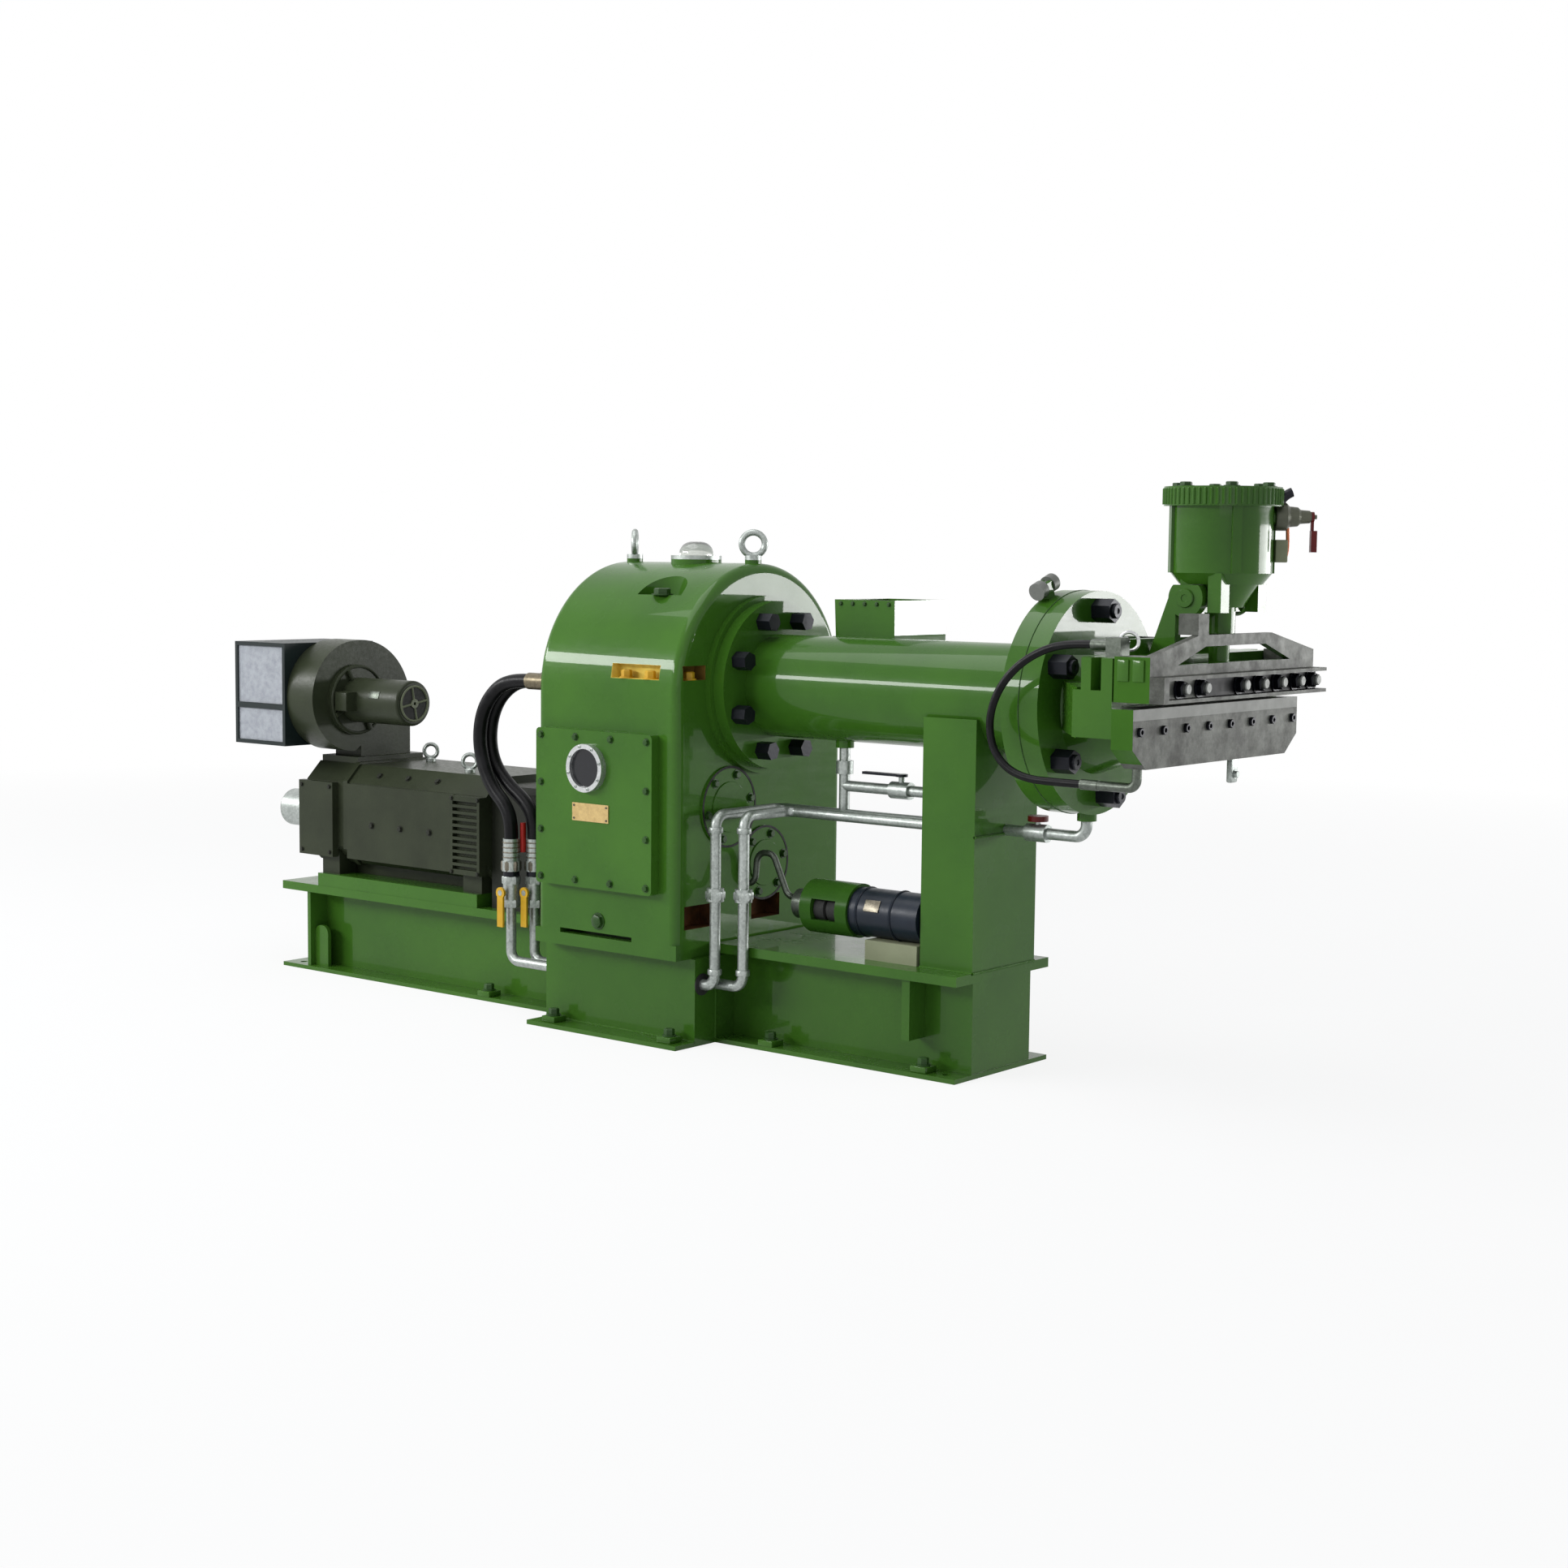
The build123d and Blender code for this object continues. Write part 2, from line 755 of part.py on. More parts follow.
with BuildPart() as barrel:
    bar_x((barrel_rear, 0, axis_height), rear_flange, rear_flange_radius)
    bar_x((barrel_start, 0, axis_height), barrel_length, barrel_radius)
    bar_x((barrel_end, 0, axis_height), front_flange, front_flange_radius)
    feed_x = barrel_start + feed_start
    block((feed_x, 0, axis_height - feed_bottom),
          (feed_x + feed_length, feed_near + feed_width, axis_height + feed_top))
    throat_x = feed_x + feed_length / 2
    throat_y = feed_near + feed_width / 2
    throat_top = axis_height + feed_top
    block((throat_x - throat_length / 2, throat_y - throat_width / 2, throat_top - throat_depth),
          (throat_x + throat_length / 2, throat_y + throat_width / 2, throat_top + overrun),
          Mode.SUBTRACT)
    lug_x = barrel_end + flange_pin_lug / 4
    lug_plane = Plane(origin=(lug_x, 0, axis_height), x_dir=(1, 0, 0),
                      z_dir=(0, -sin(radians(flange_pin_angle)), cos(radians(flange_pin_angle))))
    pin_rise = front_flange_radius + flange_pin_lug
    with BuildSketch(lug_plane.offset(front_flange_radius - flange_pin_lug)):
        Rectangle(2 * (flange_pin_radius + flange_pin_margin), flange_pin_lug)
    extrude(amount=2 * flange_pin_lug + flange_pin_radius)
    pin_plane = Plane(origin=lug_plane.offset(pin_rise).origin, x_dir=(1, 0, 0), z_dir=lug_plane.y_dir)
    with BuildSketch(pin_plane.offset(-flange_pin_lug)):
        Circle(flange_pin_radius + running_gap)
    extrude(amount=2 * flange_pin_lug, mode=Mode.SUBTRACT)
    port_x = barrel_start + riser_start - rear_flange
    port_z = axis_height - barrel_radius - port_drop
    bar_z((port_x, 0, port_z), barrel_radius, port_radius)

with BuildPart() as barrel_studs:
    with BuildSketch(Plane.YZ.offset(barrel_start)):
        with Locations((0, axis_height)):
            with PolarLocations(barrel_stud_circle_radius, barrel_stud_count,
                                start_angle=180 / barrel_stud_count):
                RegularPolygon(barrel_stud_radius, 6)
    extrude(amount=barrel_stud_length)

with BuildPart() as flange_pin:
    with BuildSketch(pin_plane.offset(-flange_pin_width / 2)):
        Circle(flange_pin_radius)
    extrude(amount=flange_pin_width)
    disc_start = flange_pin_lug / 2 + running_gap
    for side in (-1, 1):
        with BuildSketch(pin_plane.offset(side * disc_start)):
            Circle(flange_pin_disc)
        extrude(amount=side * (flange_pin_width / 2 - disc_start))

with BuildPart() as feed_hopper:
    with BuildSketch(Plane.XY.offset(throat_top)):
        with Locations((throat_x, throat_y)):
            Rectangle(feed_length, feed_width)
    with BuildSketch(Plane.XY.offset(throat_top + hopper_height)):
        with Locations((throat_x, throat_y)):
            Rectangle(feed_length + 2 * hopper_flare, feed_width + 2 * hopper_flare)
    loft()
    with BuildSketch(Plane.XY.offset(throat_top)):
        with Locations((throat_x, throat_y)):
            Rectangle(feed_length - 2 * hopper_wall, feed_width - 2 * hopper_wall)
    with BuildSketch(Plane.XY.offset(throat_top + hopper_height)):
        with Locations((throat_x, throat_y)):
            Rectangle(feed_length + 2 * hopper_flare - 2 * hopper_wall,
                      feed_width + 2 * hopper_flare - 2 * hopper_wall)
    loft(mode=Mode.SUBTRACT)

saddle_foot = axis_height - saddle_bottom

with BuildPart() as column:
    half = column_width / 2
    block((column_rear, -half, base_height), (column_front, half, saddle_foot))

with BuildPart() as saddle:
    half = column_width / 2
    block((column_rear, -half, saddle_foot), (column_front, half, saddle_foot + saddle_height))
    bar_x((column_rear - overrun, 0, axis_height), column_depth + 2 * overrun, barrel_radius,
          Mode.SUBTRACT)

with BuildPart() as head_neck:
    bar_x((flange_face, 0, axis_height), head_flange, front_flange_radius)
    with BuildSketch(Plane.YZ.offset(head_start)):
        with Locations((0, axis_height)):
            Circle(neck_radius)
    with BuildSketch(Plane.YZ.offset(body_rear)):
        with Locations((0, axis_height)):
            Circle(neck_front_radius)
    loft()
    block((head_start, -neck_radius, axis_height + neck_top),
          (body_rear, neck_radius, axis_height + neck_radius), Mode.SUBTRACT)
    with BuildSketch(Plane.XY.offset(axis_height - wing_bottom)):
        with BuildLine():
            Polyline((head_start, -wing_root), (body_rear, -wing_reach), (body_rear, wing_reach),
                     (head_start, wing_root), close=True)
        make_face()
    extrude(amount=wing_bottom + wing_top)
    drain_x = flange_face + head_flange / 2
    drain_top = axis_height - front_flange_radius - port_drop
    bar_z((drain_x, 0, drain_top), front_flange_radius, port_radius)

with BuildPart() as head_studs:
    with BuildSketch(Plane.YZ.offset(head_start)) as nuts:
        with Locations((0, axis_height)):
            with PolarLocations(head_stud_circle_radius, head_stud_count, start_angle=90 + stud_angle):
                RegularPolygon(head_stud_radius, 6)
    extrude(amount=head_stud_length)
    with BuildSketch(Plane.YZ.offset(head_start + head_stud_length)) as ends:
        with Locations((0, axis_height)):
            with PolarLocations(head_stud_circle_radius, head_stud_count, start_angle=90 + stud_angle):
                Circle(stud_end_radius)
    extrude(amount=stud_end_length)

with BuildPart() as head_body:
    block((body_rear, -head_side, axis_height - head_bottom), (body_front, head_side, body_top))
    block((body_front - slot_depth, -head_side + slot_end, jaw_top),
          (body_front + overrun, head_side - slot_end, bar_bottom), Mode.SUBTRACT)
    ridge_x = body_rear + ridge_start
    block((ridge_x, -ridge_width / 2, body_top),
          (ridge_x + ridge_depth, ridge_width / 2, body_top + ridge_height))
    groove_start = body_rear + end_step + end_post
    groove_foot = body_top - end_groove_depth
    for side in (-1, 1):
        low, high = sorted((side * (head_side - end_groove_reach), side * (head_side + overrun)))
        block((body_rear - overrun, low, groove_foot), (body_rear + end_step, high, body_top + overrun),
              Mode.SUBTRACT)
        block((groove_start, low, groove_foot), (groove_start + end_groove, high, body_top + overrun),
              Mode.SUBTRACT)

with BuildPart() as lower_jaw:
    jaw_bottom = jaw_top - jaw_height
    with BuildSketch(Plane.YZ.offset(body_front)):
        with BuildLine():
            Polyline((-head_side, jaw_top), (head_side, jaw_top), (head_side, jaw_bottom + jaw_corner_z),
                     (head_side - jaw_corner_y, jaw_bottom), (jaw_corner_y - head_side, jaw_bottom),
                     (-head_side, jaw_bottom + jaw_corner_z), close=True)
        make_face()
    extrude(amount=jaw_depth)

with BuildPart() as upper_jaw:
    block((upper_rear, -head_side, bar_bottom), (bar_front, head_side, bar_top))
    groove_z = (bar_bottom + bar_top) / 2
    block((bar_front - bar_groove_depth, -head_side + bar_groove_end, groove_z - bar_groove_height / 2),
          (bar_front + overrun, head_side + overrun, groove_z + bar_groove_height / 2), Mode.SUBTRACT)
    top_half = bridge_top_width / 2
    with BuildSketch(Plane.YZ.offset(bridge_front - bridge_plate)):
        with BuildLine():
            Polyline((-head_side, bar_top), (head_side, bar_top), (head_side, bar_top + bridge_shoulder),
                     (top_half, bridge_top), (-top_half, bridge_top),
                     (-head_side, bar_top + bridge_shoulder), close=True)
        make_face()
        window_z = bar_top + window_bottom
        with BuildLine():
            Polyline((-window_low_width / 2, window_z), (window_low_width / 2, window_z),
                     (window_top_width / 2, window_z + window_height),
                     (-window_top_width / 2, window_z + window_height), close=True)
        make_face(mode=Mode.SUBTRACT)
    extrude(amount=bridge_plate)
    for side in (-1, 1):
        low, high = sorted((side * head_side, side * (head_side - jaw_post_width)))
        block((upper_rear, low, bar_top), (bridge_front - bridge_plate, high, bar_top + bridge_shoulder))
    block((bridge_front - lift_block_length, -lift_block_y - lift_block_width, bridge_top),
          (bridge_front, -lift_block_y, bridge_top + lift_block_height))

with BuildPart() as clamp_rod:
    stem_x = cylinder_x - pivot_setback / 2
    bar_z((stem_x, 0, bar_top), bridge_height, rod_stem_radius)
    bar_z((stem_x, 0, bridge_top), cylinder_foot - skirt_height + rod_reach - bridge_top, rod_radius)

with BuildPart() as clamp_cylinder:
    skirt_bottom = cylinder_foot - skirt_height
    rod_x = cylinder_x - pivot_setback / 2
    bar_z((rod_x, 0, cylinder_foot), cylinder_height, cylinder_radius)
    bar_z((rod_x, 0, cylinder_top), cap_height, cap_radius)
    with BuildSketch(Plane.XY.offset(skirt_bottom)):
        with Locations((rod_x, 0)):
            Circle(skirt_radius)
    with BuildSketch(Plane.XY.offset(cylinder_foot)):
        with Locations((rod_x, 0)):
            Circle(cylinder_radius)
    loft()
    for side in (-1, 1):
        low, high = sorted((side * lug_y, side * (lug_y + lug_width)))
        block((rod_x - pivot_setback - lug_depth / 2, low, skirt_bottom - lug_drop),
              (rod_x - pivot_setback + lug_depth / 2, high, cylinder_foot))
        low, high = sorted((side * front_leg_y, side * (front_leg_y + front_leg_width)))
        block((rod_x + front_leg_start, low, skirt_bottom - lug_drop),
              (rod_x + front_leg_start + front_leg_depth, high, cylinder_foot))
    with Locations((rod_x, 0, cylinder_foot)):
        with PolarLocations(cylinder_radius, rib_count, start_angle=180 / rib_count):
            Box(2 * rib_depth, rib_width, cylinder_height, align=from_end)
    pivot_x = rod_x - pivot_setback
    pivot_z = skirt_bottom - lug_drop / 2
    bar_z((rod_x, 0, skirt_bottom - overrun), overrun + rod_reach + lift_travel + moving_clearance,
          rod_radius + running_gap, Mode.SUBTRACT)
    bar_y((pivot_x, -lug_y - lug_width - overrun, pivot_z), 2 * (lug_y + lug_width + overrun),
          pivot_radius + running_gap, Mode.SUBTRACT)
    valve_height = cylinder_top - hand_valve_drop
    valve_way = (cos(radians(hand_valve_angle)), sin(radians(hand_valve_angle)), 0)
    with BuildSketch(Plane(origin=(rod_x, 0, valve_height), z_dir=valve_way).offset(rod_radius * 2)):
        Circle(hand_valve_radius)
    extrude(amount=cylinder_radius + port_drop / 2 - rod_radius * 2)

with BuildPart() as cylinder_ears:
    ear_y = lug_y + lug_width + ear_gap
    with BuildSketch(Plane.XZ.offset(-ear_y - ear_thickness)) as outline:
        with BuildLine():
            foot_x = body_front - ear_foot
            Polyline((foot_x, body_top), (body_front, body_top), (body_front, pivot_z),
                     (pivot_x - ear_radius, pivot_z), close=True)
        make_face()
        with Locations((pivot_x, pivot_z)):
            Circle(ear_radius)
    extrude(outline.sketch, amount=ear_thickness)
    block((pivot_x - 2 * ear_radius, -ear_y - 2 * ear_thickness, skirt_bottom - ear_gap),
          (pivot_x + 2 * ear_radius, ear_y + 2 * ear_thickness, skirt_bottom + ear_radius), Mode.SUBTRACT)
    bar_y((pivot_x, -ear_y - ear_thickness - ear_gap, pivot_z), ear_thickness + ear_gap + lug_width + ear_gap,
          pivot_radius)
    mirror(about=Plane.XZ)

valve_plane = Plane(origin=(rod_x, 0, cylinder_top - hand_valve_drop),
                    x_dir=(-sin(radians(hand_valve_angle)), cos(radians(hand_valve_angle)), 0),
                    z_dir=(cos(radians(hand_valve_angle)), sin(radians(hand_valve_angle)), 0))
valve_seat = cylinder_radius + port_drop / 2
lever_place = valve_seat + hand_valve_length

with BuildPart() as cylinder_valve:
    with BuildSketch(valve_plane.offset(valve_seat)):
        Circle(hand_valve_radius)
    extrude(amount=hand_valve_length / 2)
    with BuildSketch(valve_plane.offset(valve_seat + hand_valve_length / 2)):
        Circle(hand_valve_radius)
    with BuildSketch(valve_plane.offset(lever_place)):
        Circle(lever_hub_radius)
    loft()
    with BuildSketch(valve_plane.offset(lever_place)):
        Circle(lever_pin_radius)
    extrude(amount=2 * lever_thickness)

with BuildPart() as cylinder_valve_lever:
    with BuildSketch(valve_plane.offset(lever_place + running_gap)):
        Circle(lever_hub_radius)
        with Locations((0, -hand_lever_length / 2)):
            Rectangle(hand_lever_width, hand_lever_length)
        Circle(lever_pin_radius + running_gap, mode=Mode.SUBTRACT)
    extrude(amount=lever_thickness)
    with BuildSketch(valve_plane.offset(lever_place + running_gap)):
        with Locations((0, hand_grip_length / 2 - hand_lever_length)):
            Rectangle(hand_grip_width, hand_grip_length)
    extrude(amount=hand_grip_thickness)

supply_x = plinth_end + supply_stand_off
return_x = plinth_end + return_stand_off
riser_x = port_x
branch_x = plinth_end + branch_valve_start

with BuildPart() as water_pipes:
    pipe([(plinth_end, supply_y, supply_foot_height), (supply_x, supply_y, supply_foot_height),
          (supply_x, supply_y, supply_height), (supply_x, 0, supply_height),
          (column_rear, 0, supply_height)], pipe_radius, pipe_bend)
    pipe([(plinth_end, return_y, supply_foot_height), (return_x, return_y, supply_foot_height),
          (return_x, return_y, supply_height), (return_x, return_run_y, supply_height),
          (column_rear, return_run_y, supply_height)], pipe_radius, pipe_bend)
    bar_z((riser_x, 0, supply_height), port_z - supply_height, pipe_radius)
    bar_x((riser_x, 0, branch_height), column_rear - riser_x, pipe_radius)
    union_z = (supply_foot_height + supply_height) / 2
    for place in ((supply_x, supply_y, union_z), (return_x, return_y, union_z),
                  (riser_x, 0, port_z - 2 * union_length)):
        bar_z(place, union_length, union_radius)
    bar_x((branch_x - valve_length / 2, 0, branch_height), valve_length, valve_radius)
    bar_z((branch_x, 0, branch_height), stem_rise, stem_radius)

with BuildPart() as branch_valve_lever:
    lever_z = branch_height + stem_rise - lever_thickness - running_gap
    bar_z((branch_x, 0, lever_z), lever_thickness, lever_hub_radius + stem_radius / 2)
    block((branch_x - branch_lever_length, -branch_lever_width / 2, lever_z),
          (branch_x, branch_lever_width / 2, lever_z + lever_thickness))
    bar_z((branch_x, 0, lever_z - overrun), lever_thickness + 2 * overrun, stem_radius + running_gap,
          Mode.SUBTRACT)

with BuildPart() as drain_pipe:
    pipe([(column_front, 0, supply_height), (drain_x, 0, supply_height), (drain_x, 0, drain_top)],
         pipe_radius, pipe_bend)
    drain_valve_x = column_front + drain_valve_share * (drain_x - column_front)
    bar_x((drain_valve_x - valve_length / 2, 0, supply_height), valve_length, valve_radius)
    bar_z((drain_valve_x, 0, supply_height), drain_stem_rise, stem_radius)

with BuildPart() as drain_handle:
    bar_z((drain_valve_x, 0, supply_height + drain_stem_rise), drain_handle_height, drain_handle_radius)

hose_a = (gearbox_rear - hose_a_start, hose_a_y, hose_a_foot_x)
hose_b = (gearbox_rear - hose_b_start, hose_b_y, hose_b_foot_x)

with BuildPart() as hose_couplings:
    for start_x, place_y, foot_x in (hose_a, hose_b):
        bar_x((start_x, place_y, hose_port_height), gearbox_rear - start_x, ferrule_radius)

ferrule_foot = hose_foot_height - ferrule_length - ferrule_nut_length

with BuildPart() as hose_valves:
    for start_x, place_y, foot_x in (hose_a, hose_b):
        pipe([(foot_x, place_y, ferrule_foot), (foot_x, place_y, hose_pipe_height),
              (plinth_start, place_y, hose_pipe_height)], pipe_radius, pipe_bend)
        bar_z((foot_x, place_y, hose_valve_height - hose_valve_length / 2), hose_valve_length,
              hose_valve_radius)
        bar_y((foot_x, place_y - hose_stem, hose_valve_height), hose_stem, stem_radius)
        bar_z((foot_x, place_y, ferrule_foot), ferrule_nut_length, ferrule_nut_radius)
        bar_z((foot_x, place_y, ferrule_foot + ferrule_nut_length), ferrule_length, ferrule_radius)


# A valve lever that hangs beside its pipe, on a stem that points to the near side.
def hanging_lever(foot_x, place_y):
    face = place_y - hose_stem + running_gap
    bar_y((foot_x, face, hose_valve_height), lever_thickness, lever_hub_radius + stem_radius / 2)
    block((foot_x - hose_lever_width / 2, face, hose_valve_height - hose_lever_length),
          (foot_x + hose_lever_width / 2, face + lever_thickness, hose_valve_height))
    bar_y((foot_x, face - overrun, hose_valve_height), lever_thickness + 2 * overrun,
          stem_radius + running_gap, Mode.SUBTRACT)


with BuildPart() as hose_valve_lever_a:
    hanging_lever(hose_a_foot_x, hose_a_y)

with BuildPart() as hose_valve_lever_b:
    hanging_lever(hose_b_foot_x, hose_b_y)

# The routes of the hoses, as points chosen along them, in X and Z.
drive_hose_a_route = [(-226, 1092), (-304, 1062), (-364, 992), (-384, 898), (-364, 806), (-316, 728),
                      (-262, 684), (-234, 630)]
drive_hose_b_route = [(-218, 1092), (-298, 1064), (-362, 998), (-388, 905), (-370, 812), (-300, 742),
                      (-214, 690), (-176, 632)]
head_hose_route = [(1918, 1281), (1836, 1259), (1760, 1215), (1701, 1150), (1672, 1070), (1683, 991),
                   (1728, 937), (1798, 911), (1888, 908)]

with BuildPart() as drive_hose_a:
    middle = [(x, hose_a_y, z) for x, z in drive_hose_a_route]
    hose("drive_hose_a", [(hose_a[0], hose_a_y, hose_port_height)] + middle
         + [(hose_a_foot_x, hose_a_y, hose_foot_height)], hose_radius)

with BuildPart() as drive_hose_b:
    middle = [(x, hose_b_y, z) for x, z in drive_hose_b_route]
    hose("drive_hose_b", [(hose_b[0], hose_b_y, hose_port_height)] + middle
         + [(hose_b_foot_x, hose_b_y, hose_foot_height)], hose_radius)

head_hose_x = body_rear + head_hose_start
head_hose_tail = body_rear + head_hose_end
head_hose_top = axis_height + head_hose_rise
head_hose_low = axis_height - head_hose_drop

with BuildPart() as head_hose:
    middle = [(x, head_hose_y, z) for x, z in head_hose_route]
    hose("head_hose", [(head_hose_x, head_hose_y, head_hose_top)] + middle
         + [(head_hose_tail, head_hose_y, head_hose_low)], head_hose_radius)

with BuildPart() as head_hose_fittings:
    bar_x((head_hose_x, head_hose_y, head_hose_top), head_ferrule_length, head_ferrule_radius)
    valve_x = head_hose_x + head_ferrule_length
    block((valve_x, head_hose_y - head_valve_width / 2, body_top),
          (valve_x + head_valve_length, head_hose_y + head_valve_width / 2, body_top + head_valve_height))
    bar_x((head_hose_tail, head_hose_y, head_hose_low), head_ferrule_length, head_ferrule_radius)
    elbow_x = (body_front + jaw_front) / 2
    pipe([(head_hose_tail + head_ferrule_length, head_hose_y, head_hose_low),
          (elbow_x, head_hose_y, head_hose_low), (elbow_x, head_hose_y, jaw_bottom)],
         head_elbow_radius, head_elbow_bend)

bell_x = plinth_end + bell_start
bell_end = bell_x + bell_length

with BuildPart() as pump_bell:
    bar_x((bell_x, pump_y, pump_height), bell_length, bell_radius)
    window_x = bell_x + bell_length / 2
    block((window_x - bell_window_length / 2, pump_y - bell_radius - overrun,
           pump_height - bell_window_height / 2),
          (window_x + bell_window_length / 2, pump_y - bell_radius + bell_window_depth,
           pump_height + bell_window_height / 2), Mode.SUBTRACT)

with BuildPart() as pump_motor:
    bar_x((bell_end, pump_y, pump_height), column_rear - pump_motor_gap - bell_end, pump_motor_radius)

with BuildPart() as pump_block:
    block((bell_end + pump_block_setback, pump_y - pump_block_width / 2, base_height),
          (column_rear - pump_motor_gap, pump_y + pump_block_width / 2,
           base_height + pump_block_height))

with BuildPart() as pump_body:
    bar_x((bell_x - pump_body_length, pump_y, pump_height), pump_body_length, pump_body_radius)
    tube_end = bell_x - pump_body_length
    tube_port_z = pump_height + pump_port_rise
    bar_x((tube_end - pump_port_length, tube_y, tube_port_z), pump_port_length, pump_port_radius)
    tube_start = gearbox_front + bearing_cover_depth
    tube_xs = [tube_start + share * (tube_end - tube_start) for share in tube_shares]
    pipe([(tube_start, tube_y, tube_start_height), (tube_xs[0], tube_y, tube_start_height),
          (tube_xs[1], tube_y, tube_top_height), (tube_xs[2], tube_y, tube_top_height),
          (tube_xs[3], tube_y, tube_port_z), (tube_end, tube_y, tube_port_z)], tube_radius, tube_bend)

pieces = {
    "motor_bed": motor_bed,
    "gearbox_plinth": gearbox_plinth,
    "barrel_bed": barrel_bed,
    "motor_body": motor_body,
    "motor_covers": motor_covers,
    "motor_vents": motor_vents,
    "tacho_cover": tacho_cover,
    "coupling_guard": coupling_guard,
    "blower_scroll": blower_scroll,
    "blower_motor": blower_motor,
    "filter_box": filter_box,
    "filter_mats": filter_mats,
    "gearbox_case": gearbox_case,
    "gearbox_side_panels": gearbox_side_panels,
    "sight_glass_ring": sight_glass_ring,
    "sight_glass_pane": sight_glass_pane,
    "nameplate": nameplate,
    "breather": breather,
    "breather_dome": breather_dome,
    "lifting_eyes": lifting_eyes,
    "bearing_covers": bearing_covers,
    "barrel": barrel,
    "barrel_studs": barrel_studs,
    "flange_pin": flange_pin,
    "feed_hopper": feed_hopper,
    "column": column,
    "saddle": saddle,
    "head_neck": head_neck,
    "head_studs": head_studs,
    "head_body": head_body,
    "lower_jaw": lower_jaw,
    "upper_jaw": upper_jaw,
    "clamp_rod": clamp_rod,
    "clamp_cylinder": clamp_cylinder,
    "cylinder_ears": cylinder_ears,
    "cylinder_valve": cylinder_valve,
    "cylinder_valve_lever": cylinder_valve_lever,
    "water_pipes": water_pipes,
    "branch_valve_lever": branch_valve_lever,
    "drain_pipe": drain_pipe,
    "drain_handle": drain_handle,
    "hose_couplings": hose_couplings,
    "hose_valves": hose_valves,
    "hose_valve_lever_a": hose_valve_lever_a,
    "hose_valve_lever_b": hose_valve_lever_b,
    "drive_hose_a": drive_hose_a,
    "drive_hose_b": drive_hose_b,
    "head_hose_fittings": head_hose_fittings,
    "head_hose": head_hose,
    "pump_bell": pump_bell,
    "pump_motor": pump_motor,
    "pump_block": pump_block,
    "pump_body": pump_body,
}
os.makedirs("parts", exist_ok=True)
for name, piece in pieces.items():
    piece.part.label = name
    export_step(piece.part, f"parts/{name}.step")
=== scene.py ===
import math

import bmesh
import bpy
from mathutils import Matrix, Vector


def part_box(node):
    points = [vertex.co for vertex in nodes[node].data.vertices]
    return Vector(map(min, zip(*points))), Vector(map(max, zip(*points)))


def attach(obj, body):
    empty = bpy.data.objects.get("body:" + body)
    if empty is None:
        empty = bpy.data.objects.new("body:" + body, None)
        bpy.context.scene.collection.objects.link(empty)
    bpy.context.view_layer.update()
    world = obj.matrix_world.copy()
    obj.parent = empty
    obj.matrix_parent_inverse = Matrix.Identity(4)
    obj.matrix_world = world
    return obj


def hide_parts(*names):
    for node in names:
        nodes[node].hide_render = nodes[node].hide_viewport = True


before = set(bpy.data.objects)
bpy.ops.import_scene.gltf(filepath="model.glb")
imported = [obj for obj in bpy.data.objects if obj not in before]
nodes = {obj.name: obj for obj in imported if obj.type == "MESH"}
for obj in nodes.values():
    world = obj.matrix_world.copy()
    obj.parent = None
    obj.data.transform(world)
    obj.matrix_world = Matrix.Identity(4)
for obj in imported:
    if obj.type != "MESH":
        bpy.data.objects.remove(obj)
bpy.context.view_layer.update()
print("frame loaded:", len(nodes), "nodes")

camera = {
    "place": (5.42011, -5.86091, 1.52111),
    "azimuth": 39.13,
    "pitch": 5.51,
    "roll": 0.61,
    "lens": 55.75,
    "sensor": 36.0,
    "clipEnd": 100.0,
}


def addCamera(settings):
    a, p, r = (math.radians(settings[key]) for key in ("azimuth", "pitch", "roll"))
    ahead = Vector((-math.sin(a) * math.cos(p), math.cos(a) * math.cos(p), -math.sin(p)))
    right = Vector((math.cos(a), math.sin(a), 0))
    up = right.cross(ahead)
    rolledRight = right * math.cos(r) + up * math.sin(r)
    rolledUp = up * math.cos(r) - right * math.sin(r)
    data = bpy.data.cameras.new("photoCamera")
    data.lens = settings["lens"]
    data.sensor_width = settings["sensor"]
    data.clip_end = settings["clipEnd"]
    cam = bpy.data.objects.new("photoCamera", data)
    turn = Matrix((rolledRight, rolledUp, -ahead)).transposed().to_4x4()
    cam.matrix_world = Matrix.Translation(settings["place"]) @ turn
    bpy.context.collection.objects.link(cam)
    bpy.context.scene.camera = cam


addCamera(camera)
bpy.context.scene.view_settings.view_transform = "Standard"


# A socket that takes part in sums: each operator adds its Math node.
class Val:
    def __init__(self, shade, socket):
        self.shade = shade
        self.socket = socket

    def maths(self, operation, first, second):
        return self.shade.node("ShaderNodeMath", {"operation": operation}, {0: first, 1: second})

    def __add__(self, other):
        return self.maths("ADD", self, other)

    def __radd__(self, other):
        return self.maths("ADD", other, self)

    def __sub__(self, other):
        return self.maths("SUBTRACT", self, other)

    def __rsub__(self, other):
        return self.maths("SUBTRACT", other, self)

    def __mul__(self, other):
        return self.maths("MULTIPLY", self, other)

    def __rmul__(self, other):
        return self.maths("MULTIPLY", other, self)

    def above(self, limit):
        return self.maths("GREATER_THAN", self, limit)

    def between(self, low, high):
        return self.above(low) * (1 - self.above(high))

    def orElse(self, other):
        return self.maths("MAXIMUM", self, other)

    def size(self):
        return self.maths("ABSOLUTE", self, 0)


